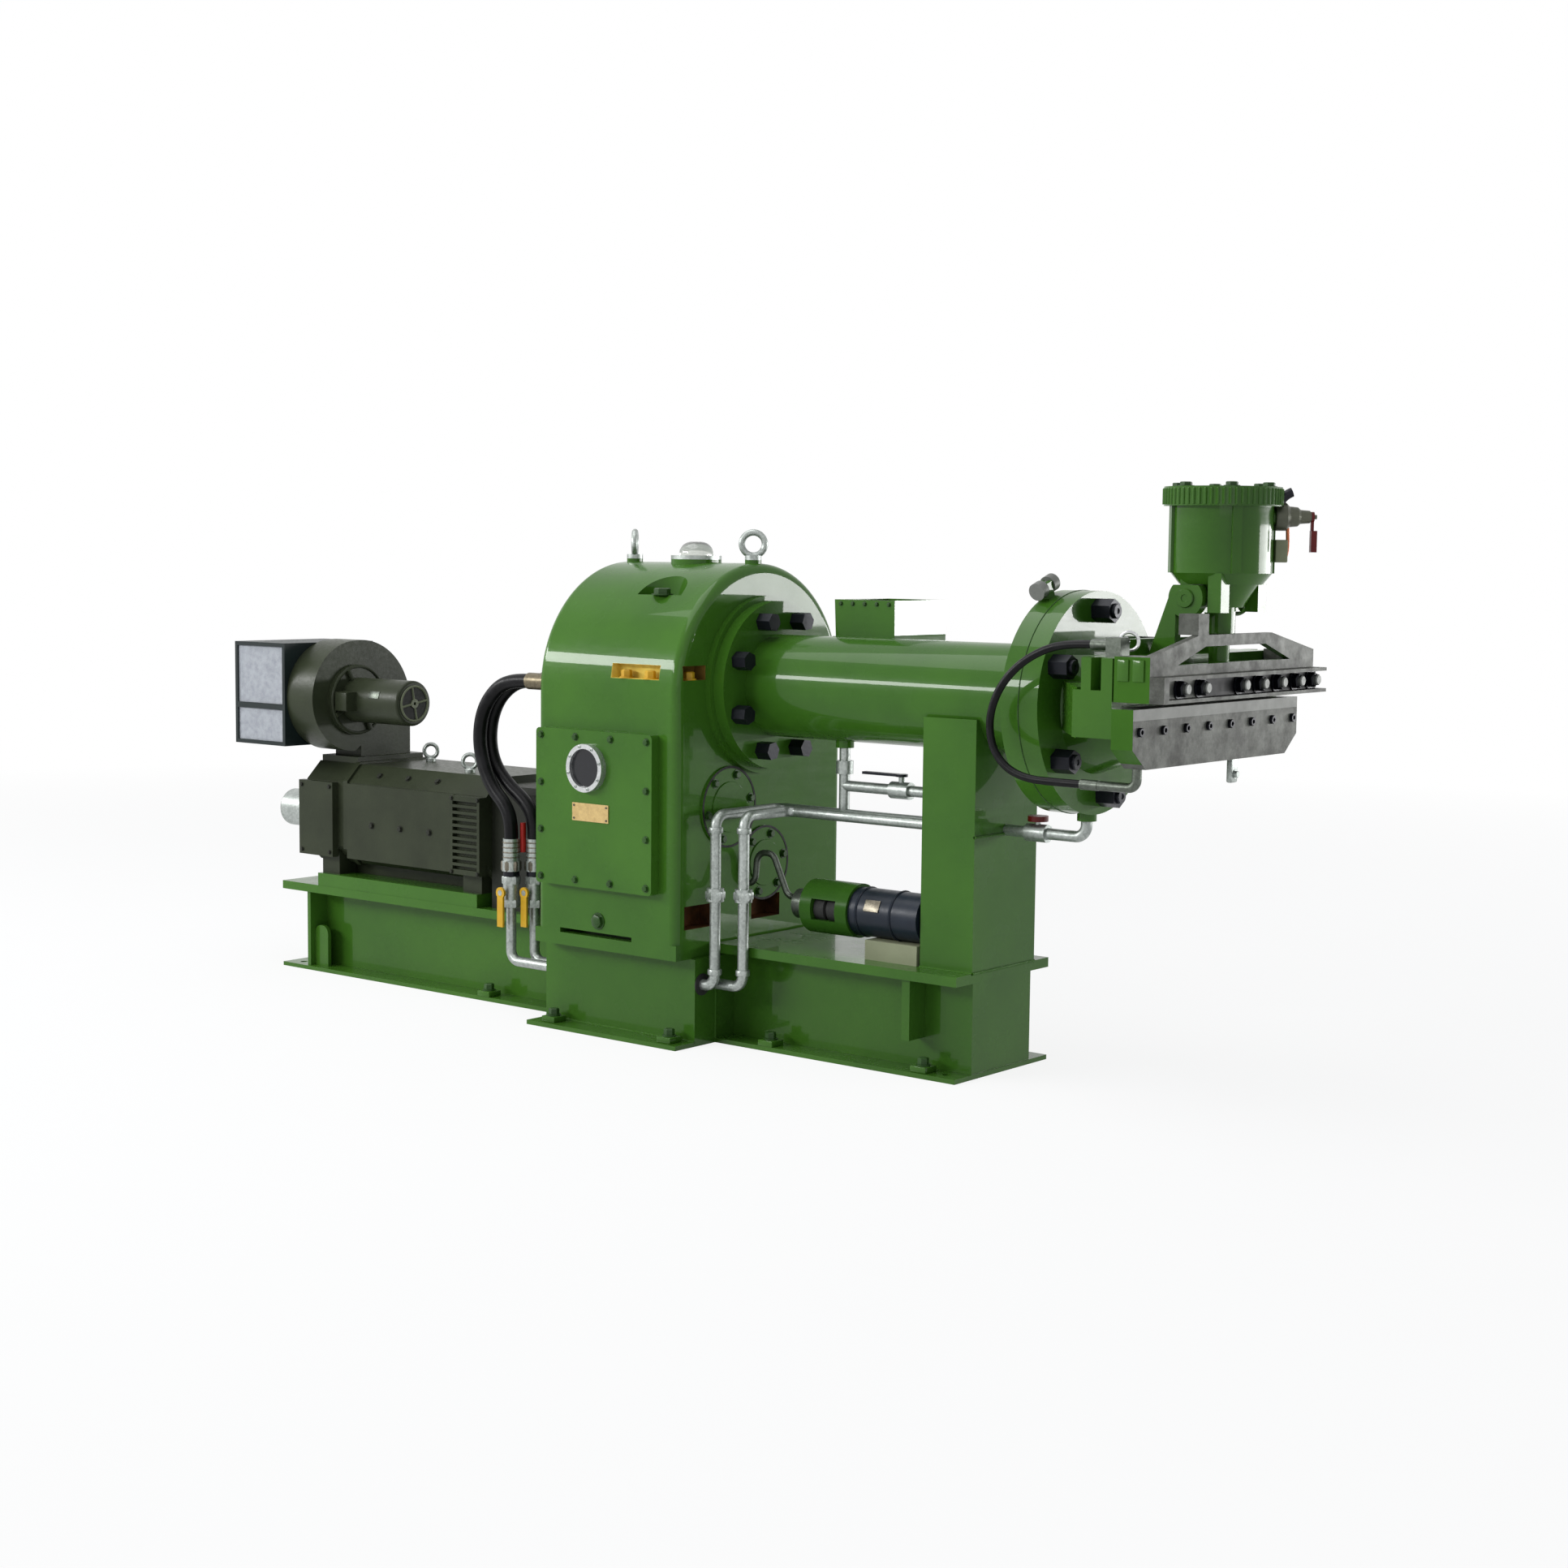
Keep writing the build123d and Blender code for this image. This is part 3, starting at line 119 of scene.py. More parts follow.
# One material under construction. node() makes any node: its type, its settings, its sockets.
class Shade:
    def __init__(self, name, store=None):
        self.material = (bpy.data.materials if store is None else store).new(name)
        self.material.use_nodes = True
        self.tree = self.material.node_tree
        self.tree.nodes.clear()

    def node(self, kind, settings=None, sockets=None, out=0):
        made = self.tree.nodes.new(kind)
        for key, value in (settings or {}).items():
            if key == "stops":
                ramp = made.color_ramp.elements
                while len(ramp) < len(value):
                    ramp.new(1)
                for stop, (place, colour) in zip(ramp, value):
                    stop.position = place
                    stop.color = colour
            else:
                setattr(made, key, value)
        for key, value in (sockets or {}).items():
            if isinstance(value, Val):
                self.tree.links.new(value.socket, made.inputs[key])
            else:
                made.inputs[key].default_value = value
        return Val(self, made.outputs[out])

    def place(self):
        return self.node("ShaderNodeTexCoord", out="Object")

    def axes(self):
        place = self.place()
        return [self.node("ShaderNodeSeparateXYZ", sockets={0: place}, out=i) for i in range(3)]

    def noise(self, scale, detail, rough=0.55, where=None):
        sockets = {"Vector": where or self.place(), "Scale": scale, "Detail": detail, "Roughness": rough}
        return self.node("ShaderNodeTexNoise", sockets=sockets)

    # Noise drawn out into lines by a scale for each axis.
    def streaks(self, scales):
        where = self.node("ShaderNodeMapping", sockets={"Vector": self.place(), "Scale": scales})
        return self.noise(1.0, 2.0, 0.5, where)

    def ramp(self, value, low, high, dark=0.0, light=1.0):
        stops = [(low, (dark, dark, dark, 1)), (high, (light, light, light, 1))]
        return self.node("ShaderNodeValToRGB", {"stops": stops}, {0: value})

    def mix(self, share, first, second):
        return self.node("ShaderNodeMix", {"data_type": "RGBA"}, {0: share, 6: first, 7: second}, out=2)

    def blend(self, share, first, second):
        return self.node("ShaderNodeMix", {"data_type": "FLOAT"}, {0: share, 2: first, 3: second})

    def bump(self, height, strength, distance):
        sockets = {"Height": height, "Strength": strength, "Distance": distance}
        return self.node("ShaderNodeBump", sockets=sockets)

    def finish(self, **sockets):
        named = {key.replace("_", " "): value for key, value in sockets.items()}
        return self.close(self.node("ShaderNodeBsdfPrincipled", sockets=named))

    def close(self, surface, kind="ShaderNodeOutputMaterial"):
        output = self.tree.nodes.new(kind)
        self.tree.links.new(surface.socket, output.inputs["Surface"])
        return self.material

    # Rays that show the white background: those of the camera, and those in gloss and glass.
    def shownRays(self):
        kinds = ("Is Camera Ray", "Is Glossy Ray", "Is Transmission Ray")
        direct, gloss, clear = (self.node("ShaderNodeLightPath", out=kind) for kind in kinds)
        return direct.orElse(gloss).orElse(clear)


# A colour as it is seen on screen, 0 to 255, turned into the light that shaders work in.
def tint(red, green, blue):
    def light(value):
        value = value / 255
        return value / 12.92 if value <= 0.04045 else ((value + 0.055) / 1.055) ** 2.4
    return (light(red), light(green), light(blue), 1)


# Glossy green enamel: a faint patchy depth of colour, brush waves in the gloss, dust low down. Its bell
# colour is the green darkened as painted shade.
enamel = {
    "green": tint(62, 107, 30), "deep": tint(51, 92, 26), "dust": tint(76, 102, 48),
    "bell": tint(36, 66, 24), "patch": (2.3, 4.0), "patchRange": (0.35, 0.7), "speck": (38.0, 3.0),
    "dustFade": 1.6, "dustRange": (0.35, 1.0, 0.0, 0.22), "wave": (5.0, 5.0, 26.0), "peel": (160.0, 2.0),
    "peelShare": 0.12, "bump": (0.25, 0.004), "ripple": (240.0, 2.0), "weldBump": (0.7, 0.003),
    "gloss": (9.0, 4.0), "glossRange": (0.3, 0.8, 0.2, 0.34), "sheen": 0.06, "coat": 0.36,
    "coatRough": 0.03,
}


def enamelColour(shade, green=enamel["green"], deep=enamel["deep"]):
    patch = shade.ramp(shade.noise(*enamel["patch"]), *enamel["patchRange"])
    height = shade.axes()[2]
    low = shade.ramp(1 - height * enamel["dustFade"], *enamel["dustRange"]) * shade.noise(*enamel["speck"])
    return shade.mix(low, shade.mix(patch, green, deep), enamel["dust"])


def enamelBump(shade):
    peel = shade.noise(*enamel["peel"]) * enamel["peelShare"]
    return shade.bump(shade.streaks(enamel["wave"]) + peel, *enamel["bump"])


def enamelRough(shade):
    return shade.ramp(shade.noise(*enamel["gloss"]), *enamel["glossRange"])


# Weld beads have a coarse ripple in place of the brush waves.
def weldBump(shade):
    return shade.bump(shade.noise(*enamel["ripple"]), *enamel["weldBump"])


def plainEnamel(name, colours=(), bump=enamelBump, coat=0.0):
    shade = Shade(name)
    return shade.finish(Base_Color=enamelColour(shade, *colours), Roughness=enamelRough(shade),
                        Normal=bump(shade), Specular_IOR_Level=enamel["sheen"],
                        Coat_Weight=coat, Coat_Roughness=enamel["coatRough"])


# The gearbox case in the same enamel, with primer left showing in its bolt pockets; the end pockets' ochre is
# darker as painted shade.
pocketPaint = {
    "ochre": tint(236, 216, 112), "ochreDark": tint(204, 172, 74), "shadedEndOchre": tint(124, 98, 46),
    "rust": tint(98, 62, 36), "rustDark": tint(60, 42, 28), "side": ((0.2865, 0.4855), (1.1235, 1.1685)),
    "end": ((0.2760, 0.3780), (1.1235, 1.1685)),
    "foot": (((-0.3675, -0.2265), (0.3615, 0.4345)), ((-0.0495, 0.0915), (0.3615, 0.4345))),
    "endDepth": (0.5, 0.5635), "footDepth": (0.49, 0.5635), "sideFrom": 0.3, "stain": (22.0, 5.0),
    "stainRange": (0.35, 0.7), "dull": 0.6,
}


def caseEnamel(s=pocketPaint):
    shade = Shade("caseEnamel")
    x, y, z = shade.axes()
    across = y.size()
    (x0, x1), (z0, z1) = s["side"]
    side = x.between(x0, x1) * z.between(z0, z1) * across.above(s["sideFrom"])
    (y0, y1), (z0, z1) = s["end"]
    end = across.between(y0, y1) * z.between(z0, z1) * x.between(*s["endDepth"])
    foot = 0
    for (y0, y1), (z0, z1) in s["foot"]:
        foot = y.between(y0, y1) * z.between(z0, z1) * x.between(*s["footDepth"]) + foot
    stain = shade.ramp(shade.noise(*s["stain"]), *s["stainRange"])
    ochre = shade.mix(stain, s["ochre"], s["ochreDark"])
    rust = shade.mix(stain, s["rust"], s["rustDark"])
    colour = shade.mix(side, enamelColour(shade), ochre)
    # The end pockets get a darker ochre: painted shade of the end face.
    colour = shade.mix(end, colour, s["shadedEndOchre"])
    colour = shade.mix(foot, colour, rust)
    inside = side.orElse(end).orElse(foot)
    rough = enamelRough(shade).orElse(inside * s["dull"])
    return shade.finish(Base_Color=colour, Roughness=rough,
                        Normal=enamelBump(shade), Specular_IOR_Level=enamel["sheen"],
                        Coat_Weight=(1 - inside) * enamel["coat"], Coat_Roughness=enamel["coatRough"])


# The jaws' bare steel, mottled by handling, with fine tool lines along Y, painted ends and painted shade in
# the clamp bar's groove.
steel = {
    "light": tint(106, 108, 102), "band": tint(142, 143, 139), "mid": tint(76, 77, 72),
    "stain": tint(40, 39, 36), "mottle": (20.0, 7.0, 0.7), "mottleRange": (0.34, 0.66),
    "blotch": (6.0, 6.0, 0.72), "blotchRange": (0.48, 0.68, 0.0, 0.8), "roughRange": (0.0, 1.0, 0.5, 0.38),
    "paintRough": 0.18, "toolLines": (420.0, 3.0, 420.0), "bump": (0.12, 0.001), "metal": 0.12,
    "sheen": 0.1, "paintedFrom": {"upper": 0.4492, "lower": 0.4000},
    "paintedTo": {"upper": 2.2215, "lower": 2.1755}, "windowZ": (1.2300, 1.2800), "windowY": 0.32,
    "groove": ((2.2305, 2.2645), (-0.1750, 0.4495), (1.1462, 1.1968)), "grooveShade": tint(18, 18, 20),
    "topBand": (1.0895, 1.1195), "bandShare": 0.7,
}


def jawSteel(name, jaw, band=False, groove=False, s=steel):
    shade = Shade(name)
    mottle = shade.ramp(shade.noise(*s["mottle"]), *s["mottleRange"])
    blotch = shade.ramp(shade.noise(*s["blotch"]), *s["blotchRange"])
    colour = shade.mix(blotch, shade.mix(mottle, s["mid"], s["light"]), s["stain"])
    x, y, z = shade.axes()
    if band:
        colour = shade.mix(z.between(*s["topBand"]) * s["bandShare"], colour, s["band"])
    across = y.size()
    inside = z.between(*s["windowZ"]) * (1 - across.above(s["windowY"]))
    painted = across.above(s["paintedFrom"][jaw]).orElse(inside) * (1 - x.above(s["paintedTo"][jaw]))
    colour = shade.mix(painted, colour, enamelColour(shade))
    # The clamp bar's groove is darkened to near-black: painted shade in the recess.
    if groove:
        (x0, x1), (y0, y1), (z0, z1) = s["groove"]
        shadedGroove = x.between(x0, x1) * y.between(y0, y1) * z.between(z0, z1)
        colour = shade.mix(shadedGroove, colour, s["grooveShade"])
    rough = shade.blend(painted, shade.ramp(mottle, *s["roughRange"]), s["paintRough"])
    return shade.finish(Base_Color=colour, Metallic=(1 - painted) * s["metal"], Roughness=rough,
                        Normal=shade.bump(shade.streaks(s["toolLines"]), *s["bump"]),
                        Specular_IOR_Level=s["sheen"])


# The feed hopper: enamel outside, with its die end and its inside left as bright sheet.
sheet = {
    "light": tint(196, 198, 196), "dark": tint(150, 152, 150), "patch": (14.0, 5.0), "rough": 0.24,
    "metal": 0.8, "end": 1.0622, "insideX": (0.8455, 1.0545), "insideY": (0.0225, 0.2715),
}


def hopperEnamel(s=sheet):
    shade = Shade("hopperEnamel")
    x, y, _ = shade.axes()
    inside = x.between(*s["insideX"]) * y.between(*s["insideY"])
    bare = x.above(s["end"]).orElse(inside)
    metal = shade.mix(shade.noise(*s["patch"]), s["light"], s["dark"])
    rough = shade.blend(bare, enamelRough(shade), s["rough"])
    return shade.finish(Base_Color=shade.mix(bare, enamelColour(shade), metal),
                        Metallic=bare * s["metal"], Roughness=rough, Normal=enamelBump(shade),
                        Coat_Weight=(1 - bare) * enamel["coat"], Specular_IOR_Level=enamel["sheen"])


# Plain painted or blackened metal: a base colour that drifts a little, under a fine grain.
satin = {
    "patch": (6.0, 5.0), "patchRange": (0.3, 0.75), "grain": (90.0, 3.0), "grainRange": (0.3, 0.8),
    "duller": 0.16, "bump": (0.18, 0.0015),
}


def satinPaint(name, colour, drift, rough, metallic=0.0, sheen=0.5, s=satin):
    shade = Shade(name)
    patch = shade.ramp(shade.noise(*s["patch"]), *s["patchRange"])
    grain = shade.noise(*s["grain"])
    return shade.finish(Base_Color=shade.mix(patch, tint(*colour), tint(*drift)), Metallic=metallic,
                        Roughness=shade.ramp(grain, *s["grainRange"], rough, rough + s["duller"]),
                        Normal=shade.bump(grain, *s["bump"]), Specular_IOR_Level=sheen)


# Galvanised and plated metal: spangle cells and a dull bloom.
galvanised = {
    "spangle": 170.0, "spangleShare": 0.5, "bloom": (12.0, 5.0), "bloomRange": (0.35, 0.75),
    "bloomShare": 0.5, "metal": 0.8, "duller": 0.2, "bump": (0.08, 0.0005),
}


def zincSteel(name, light, dark, rough, s=galvanised):
    shade = Shade(name)
    cells = {"Vector": shade.place(), "Scale": s["spangle"]}
    spangle = shade.node("ShaderNodeTexVoronoi", sockets=cells, out="Color")
    grey = shade.node("ShaderNodeSeparateXYZ", sockets={0: spangle})
    bloom = shade.ramp(shade.noise(*s["bloom"]), *s["bloomRange"])
    share = grey * s["spangleShare"] + bloom * s["bloomShare"]
    colour = shade.mix(share, tint(*light), tint(*dark))
    return shade.finish(Base_Color=colour, Metallic=s["metal"],
                        Roughness=shade.ramp(bloom, 0.0, 1.0, rough, rough + s["duller"]),
                        Normal=shade.bump(grey, *s["bump"]))


# Pale filter fleece: a felted mat with darker patches of dirt caught in it.
fleece = {
    "pale": tint(158, 162, 168), "dirty": tint(126, 130, 138), "felt": (420.0, 4.0, 0.7),
    "dirt": (40.0, 6.0, 0.7), "dirtRange": (0.4, 0.75), "roughRange": (0.2, 0.8, 0.8, 1.0),
    "bump": (0.6, 0.003), "fuzz": 0.3,
}


def filterFleece(s=fleece):
    shade = Shade("filterFleece")
    felt = shade.noise(*s["felt"])
    dirt = shade.ramp(shade.noise(*s["dirt"]), *s["dirtRange"])
    return shade.finish(Base_Color=shade.mix(dirt, s["pale"], s["dirty"]),
                        Roughness=shade.ramp(felt, *s["roughRange"]),
                        Normal=shade.bump(felt, *s["bump"]), Sheen_Weight=s["fuzz"])


# Black hose cover with the faint wrap marks of its curing cloth.
rubber = {
    "black": tint(12, 12, 14), "scuffed": tint(26, 26, 28), "scuff": (26.0, 5.0), "scuffRange": (0.45, 0.8),
    "roughRange": (0.0, 1.0, 0.34, 0.55), "wrap": (30.0, 30.0, 240.0), "bump": (0.25, 0.001), "sheen": 0.14,
}


def hoseRubber(s=rubber):
    shade = Shade("hoseRubber")
    scuff = shade.ramp(shade.noise(*s["scuff"]), *s["scuffRange"])
    return shade.finish(Base_Color=shade.mix(scuff, s["black"], s["scuffed"]),
                        Roughness=shade.ramp(scuff, *s["roughRange"]),
                        Normal=shade.bump(shade.streaks(s["wrap"]), *s["bump"]),
                        Specular_IOR_Level=s["sheen"])


# The nameplate is a bare plate: tan lacquer, mottled, with no marks on it.
lacquer = {
    "light": tint(206, 178, 118), "dark": tint(172, 144, 92), "mottle": (60.0, 5.0, 0.7),
    "mottleRange": (0.35, 0.7), "metal": 0.35, "roughRange": (0.0, 1.0, 0.35, 0.55), "bump": (0.1, 0.0008),
}


def barePlate(s=lacquer):
    shade = Shade("barePlate")
    mottle = shade.ramp(shade.noise(*s["mottle"]), *s["mottleRange"])
    return shade.finish(Base_Color=shade.mix(mottle, s["light"], s["dark"]),
                        Metallic=s["metal"], Roughness=shade.ramp(mottle, *s["roughRange"]),
                        Normal=shade.bump(mottle, *s["bump"]))


# Sight glass and dome: a thin film that dulls the gloss, and a drift of tone.
glaze = {
    "film": (18.0, 4.0), "filmRange": (0.35, 0.8), "duller": 0.08, "drift": (9.0, 3.0), "deeper": 0.85,
    "index": 1.5,
}


def glassLike(name, colour, rough, through, s=glaze):
    shade = Shade(name)
    film = shade.ramp(shade.noise(*s["film"]), *s["filmRange"], rough, rough + s["duller"])
    plain = tint(*colour)
    darker = (*(part * s["deeper"] for part in plain[:3]), 1)
    return shade.finish(Base_Color=shade.mix(shade.noise(*s["drift"]), plain, darker), Roughness=film,
                        Transmission_Weight=through, IOR=s["index"])


finishes = {
    "green": plainEnamel("greenEnamel", coat=enamel["coat"]),
    "case": caseEnamel(),
    "upperJaw": jawSteel("upperJawSteel", "upper", groove=True),
    "lowerJaw": jawSteel("lowerJawSteel", "lower", band=True),
    "motor": satinPaint("motorPaint", (50, 56, 40), (39, 44, 31), 0.3, sheen=0.16),
    "guard": satinPaint("guardPaint", (36, 39, 30), (26, 28, 22), 0.45, sheen=0.2),
    "filterFrame": satinPaint("filterFrame", (24, 36, 36), (17, 25, 25), 0.34, sheen=0.25),
    "fleece": filterFleece(),
    "zinc": zincSteel("zincSteel", (182, 188, 184), (128, 134, 130), 0.32),
    "tipSteel": satinPaint("tipSteel", (128, 130, 126), (92, 94, 90), 0.42, metallic=0.3),
    "tubeSteel": zincSteel("tubeSteel", (104, 110, 102), (70, 76, 68), 0.32),
    "brightRed": satinPaint("redCap", (178, 30, 22), (140, 20, 16), 0.3, sheen=0.3),
    # The pump bell's enamel is a darker green: painted shade.
    "bell": plainEnamel("bellShadedEnamel", (enamel["deep"], enamel["bell"])),
    "plated": zincSteel("platedSteel", (126, 120, 106), (82, 78, 68), 0.28),
    "bolt": satinPaint("blackOxide", (28, 30, 38), (18, 19, 24), 0.3, metallic=0.4, sheen=0.3),
    "greenBolt": satinPaint("paintedBolt", (46, 82, 30), (32, 58, 22), 0.25, sheen=0.25),
    "yellow": satinPaint("yellowDip", (212, 168, 38), (180, 138, 30), 0.3, sheen=0.3),
    "red": satinPaint("redHandle", (104, 20, 18), (70, 12, 12), 0.28, sheen=0.25),
    "hose": hoseRubber(),
    "plate": barePlate(),
    "chrome": zincSteel("brightRing", (214, 216, 216), (176, 178, 178), 0.16),
    "glass": glassLike("sightGlass", (18, 20, 26), 0.04, 0.0),
    "dome": glassLike("clearDome", (236, 240, 232), 0.05, 0.75),
    "navy": satinPaint("navyPaint", (28, 36, 48), (18, 24, 32), 0.3, sheen=0.25),
    "beige": satinPaint("beigePaint", (146, 150, 122), (122, 126, 100), 0.5, sheen=0.3),
    "copper": satinPaint("copperTube", (176, 104, 70), (138, 78, 52), 0.3, metallic=0.8),
    # Near-black for painted shade in grooves, openings and the bell's inside.
    "dark": satinPaint("paintedShadeBlack", (16, 18, 16), (10, 11, 10), 0.7),
    "olive": satinPaint("olivePlate", (104, 110, 86), (84, 90, 70), 0.4, sheen=0.3),
    "casting": satinPaint("valveCasting", (92, 94, 78), (64, 66, 54), 0.34, metallic=0.35),
    "bronze": zincSteel("darkPlated", (126, 116, 94), (80, 74, 60), 0.3),
    "hopper": hopperEnamel(),
    "weld": plainEnamel("weldEnamel", bump=weldBump),
}
nodeFinish = {
    "case": ["gearbox_case"],
    "green": ["motor_bed", "gearbox_plinth", "barrel_bed", "gearbox_side_panels", "bearing_covers", "barrel",
              "column", "saddle", "head_neck", "head_body", "clamp_rod", "clamp_cylinder", "cylinder_ears"],
    "hopper": ["feed_hopper"],
    "motor": ["motor_body", "motor_covers", "motor_vents", "blower_scroll", "blower_motor"],
    "guard": ["coupling_guard"],
    "filterFrame": ["filter_box"],
    "fleece": ["filter_mats"],
    "zinc": ["tacho_cover", "breather", "lifting_eyes", "water_pipes", "drain_pipe", "hose_valves"],
    "tipSteel": ["flange_pin"],
    "bronze": ["hose_couplings"],
    "casting": ["cylinder_valve"],
    "tubeSteel": ["pump_body", "head_hose_fittings"],
    "bell": ["pump_bell"],
    "bolt": ["barrel_studs", "head_studs", "branch_valve_lever"],
    "upperJaw": ["upper_jaw"],
    "lowerJaw": ["lower_jaw"],
    "chrome": ["sight_glass_ring"],
    "glass": ["sight_glass_pane"],
    "plate": ["nameplate"],
    "dome": ["breather_dome"],
    "yellow": ["hose_valve_lever_a", "hose_valve_lever_b"],
    "red": ["cylinder_valve_lever", "drain_handle"],
    "navy": ["pump_motor"],
    "beige": ["pump_block"],
}


def dress(piece, finish):
    piece.data.materials.clear()
    piece.data.materials.append(finishes[finish])


def settle(piece, finish, body="machine"):
    bpy.context.collection.objects.link(piece)
    dress(piece, finish)
    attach(piece, body)
    return piece


for finish, names in nodeFinish.items():
    for name in names:
        dress(nodes[name], finish)
print("finishes given to", sum(len(names) for names in nodeFinish.values()), "nodes")


# The three free hoses: the routes of their tubes, in metres, as control points of smooth lines.
hoses = {
    "driveHoseA": {
        "node": "drive_hose_a", "y": -0.318, "radius": 0.023, "length": 0.712,
        "route": [(-0.150, 1.092), (-0.226, 1.092), (-0.304, 1.062), (-0.364, 0.992), (-0.384, 0.898),
                  (-0.364, 0.806), (-0.316, 0.728), (-0.262, 0.684), (-0.234, 0.630), (-0.234, 0.574)],
    },
    "driveHoseB": {
        "node": "drive_hose_b", "y": -0.268, "radius": 0.023, "length": 0.762,
        "route": [(-0.140, 1.092), (-0.218, 1.092), (-0.298, 1.064), (-0.362, 0.998), (-0.388, 0.905),
                  (-0.370, 0.812), (-0.300, 0.742), (-0.214, 0.690), (-0.176, 0.632), (-0.176, 0.574)],
    },
    "headHose": {
        "node": "head_hose", "y": -0.370, "radius": 0.011, "length": 0.818,
        "route": [(1.998, 1.281), (1.918, 1.281), (1.836, 1.259), (1.760, 1.215), (1.701, 1.150),
                  (1.672, 1.070), (1.683, 0.991), (1.728, 0.937), (1.798, 0.911), (1.888, 0.908),
                  (1.973, 0.908)],
    },
}
lineShape = {"around": 6, "along": 12, "order": 3}


def addTube(name, points, radius, finish):
    curve = bpy.data.curves.new(name, "CURVE")
    curve.dimensions = "3D"
    curve.bevel_depth = radius
    curve.bevel_resolution = lineShape["around"]
    curve.resolution_u = lineShape["along"]
    curve.use_fill_caps = True
    spline = curve.splines.new("NURBS")
    spline.points.add(len(points) - 1)
    for point, at in zip(spline.points, points):
        point.co = (*at, 1)
    spline.order_u = lineShape["order"]
    spline.use_endpoint_u = True
    return settle(bpy.data.objects.new(name, curve), finish)


def addHose(name, settings):
    points = [(x, settings["y"], z) for x, z in settings["route"]]
    hose = addTube(name, points, settings["radius"], "hose")
    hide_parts(settings["node"])
    2 * settings["radius"]


for name, settings in hoses.items():
    addHose(name, settings)
print("hoses laid")


# Shapes that are added to a mesh under construction, at a place and along an axis.
def turned(bm, at, along, profile, sides):
    at, axis = Vector(at), Vector(along).normalized()
    out = axis.orthogonal().normalized()
    verts = [bm.verts.new(at + out * radius + axis * height) for radius, height in profile]
    edges = [bm.edges.new(pair) for pair in zip(verts, verts[1:])]
    bmesh.ops.spin(bm, geom=verts + edges, cent=at, axis=axis, angle=math.tau, steps=sides, use_merge=True)


def drum(radius, height, edge=0.0, low=0.0):
    return [(0, low), (radius, low), (radius, height - edge), (radius - edge, height), (0, height)]


def ringBar(bm, at, along, ringRadius, barRadius, steps=32, sides=8):
    turns = [math.tau * i / sides for i in range(sides + 1)]
    profile = [(ringRadius + barRadius * math.cos(t), barRadius * math.sin(t)) for t in turns]
    turned(bm, at, along, profile, steps)


def softBox(bm, low, high, edge):
    low, high = Vector(low), Vector(high)
    shape = Matrix.Translation((low + high) / 2) @ Matrix.Diagonal((*(high - low), 1))
    made = bmesh.ops.create_cube(bm, size=1, matrix=shape)
    rims = list({rim for vert in made["verts"] for rim in vert.link_edges})
    bmesh.ops.bevel(bm, geom=rims, offset=edge, offset_type="OFFSET", affect="EDGES", segments=2,
                    profile=0.5, material=-1)


# Shares of a fastener's radius and height, and how many sides it has.
hexSides = 6
hexBolt = {"washer": 0.18, "wide": 1.3, "edge": 0.86, "face": 0.82, "sides": 14}
socketScrew = {"edge": 0.85, "face": 0.88, "hole": 0.5, "floor": 0.4, "sides": 14}
nutCollar = {"rim": 0.92, "low": 0.15, "high": 0.85}
discFace = {"face": 0.92, "hole": 0.4, "floor": 0.36}


def boltHead(bm, at, along, radius, height, s=hexBolt):
    washer = height * s["washer"]
    turned(bm, at, along, drum(radius * s["wide"], washer), s["sides"])
    profile = [(radius, washer), (radius, height * s["edge"]), (radius * s["face"], height), (0, height)]
    turned(bm, at, along, profile, hexSides)


def socketHead(bm, at, along, radius, height, s=socketScrew):
    hole, floor = radius * s["hole"], height * s["floor"]
    profile = [(radius, 0), (radius, height * s["edge"]), (radius * s["face"], height), (hole, height),
               (hole, floor), (0, floor)]
    turned(bm, at, along, profile, s["sides"])


def collar(bm, at, along, radius, height, sides, s=nutCollar):
    rim, low, high = radius * s["rim"], height * s["low"], height * s["high"]
    profile = [(0, 0), (rim, 0), (radius, low), (radius, high), (rim, height), (0, height)]
    turned(bm, at, along, profile, sides)


def hollowDisc(bm, at, along, radius, rise, floor, sides, s=discFace):
    profile = [(radius, 0), (radius * s["face"], rise), (radius * s["hole"], rise),
               (radius * s["floor"], floor), (0, floor)]
    turned(bm, at, along, profile, sides)


mergeWithin = 1e-5
sharpFrom = math.radians(35)


def addPiece(name, bm, finish, body="machine"):
    bmesh.ops.remove_doubles(bm, verts=bm.verts, dist=mergeWithin)
    bmesh.ops.recalc_face_normals(bm, faces=bm.faces)
    mesh = bpy.data.meshes.new(name)
    bm.to_mesh(mesh)
    bm.free()
    for face in mesh.polygons:
        face.use_smooth = True
    mesh.set_sharp_from_angle(angle=sharpFrom)
    settle(bpy.data.objects.new(name, mesh), finish, body)


# One piece with the same shape at each place. A place is a point and an axis.
def addSet(name, places, size, finish, shape=boltHead, body="machine"):
    bm = bmesh.new()
    for at, along in places:
        shape(bm, at, along, *size)
    addPiece(name, bm, finish, body)


def addBox(name, low, high, edge, finish, place=Matrix()):
    bm = bmesh.new()
    softBox(bm, low, high, edge)
    bmesh.ops.transform(bm, verts=bm.verts, matrix=place)
    addPiece(name, bm, finish)


# A blank tag on the near side of a round motor, turned up from level.
def addTag(name, span, axis, radius, tag, finish):
    low, high = (span[0], -radius - tag["thick"], -tag["half"]), (span[1], -radius, tag["half"])
    lift = Matrix.Translation((0, *axis)) @ Matrix.Rotation(-math.radians(tag["turn"]), 4, "X")
    addBox(name, low, high, tag["edge"], finish, lift)


bothSides = (-1, 1)
towardsDie = (1, 0, 0)
towardsMotor = (-1, 0, 0)
towardsNear = (0, -1, 0)
upwards = (0, 0, 1)


def spread(low, high, count):
    return [low + (high - low) * i / (count - 1) for i in range(count)]


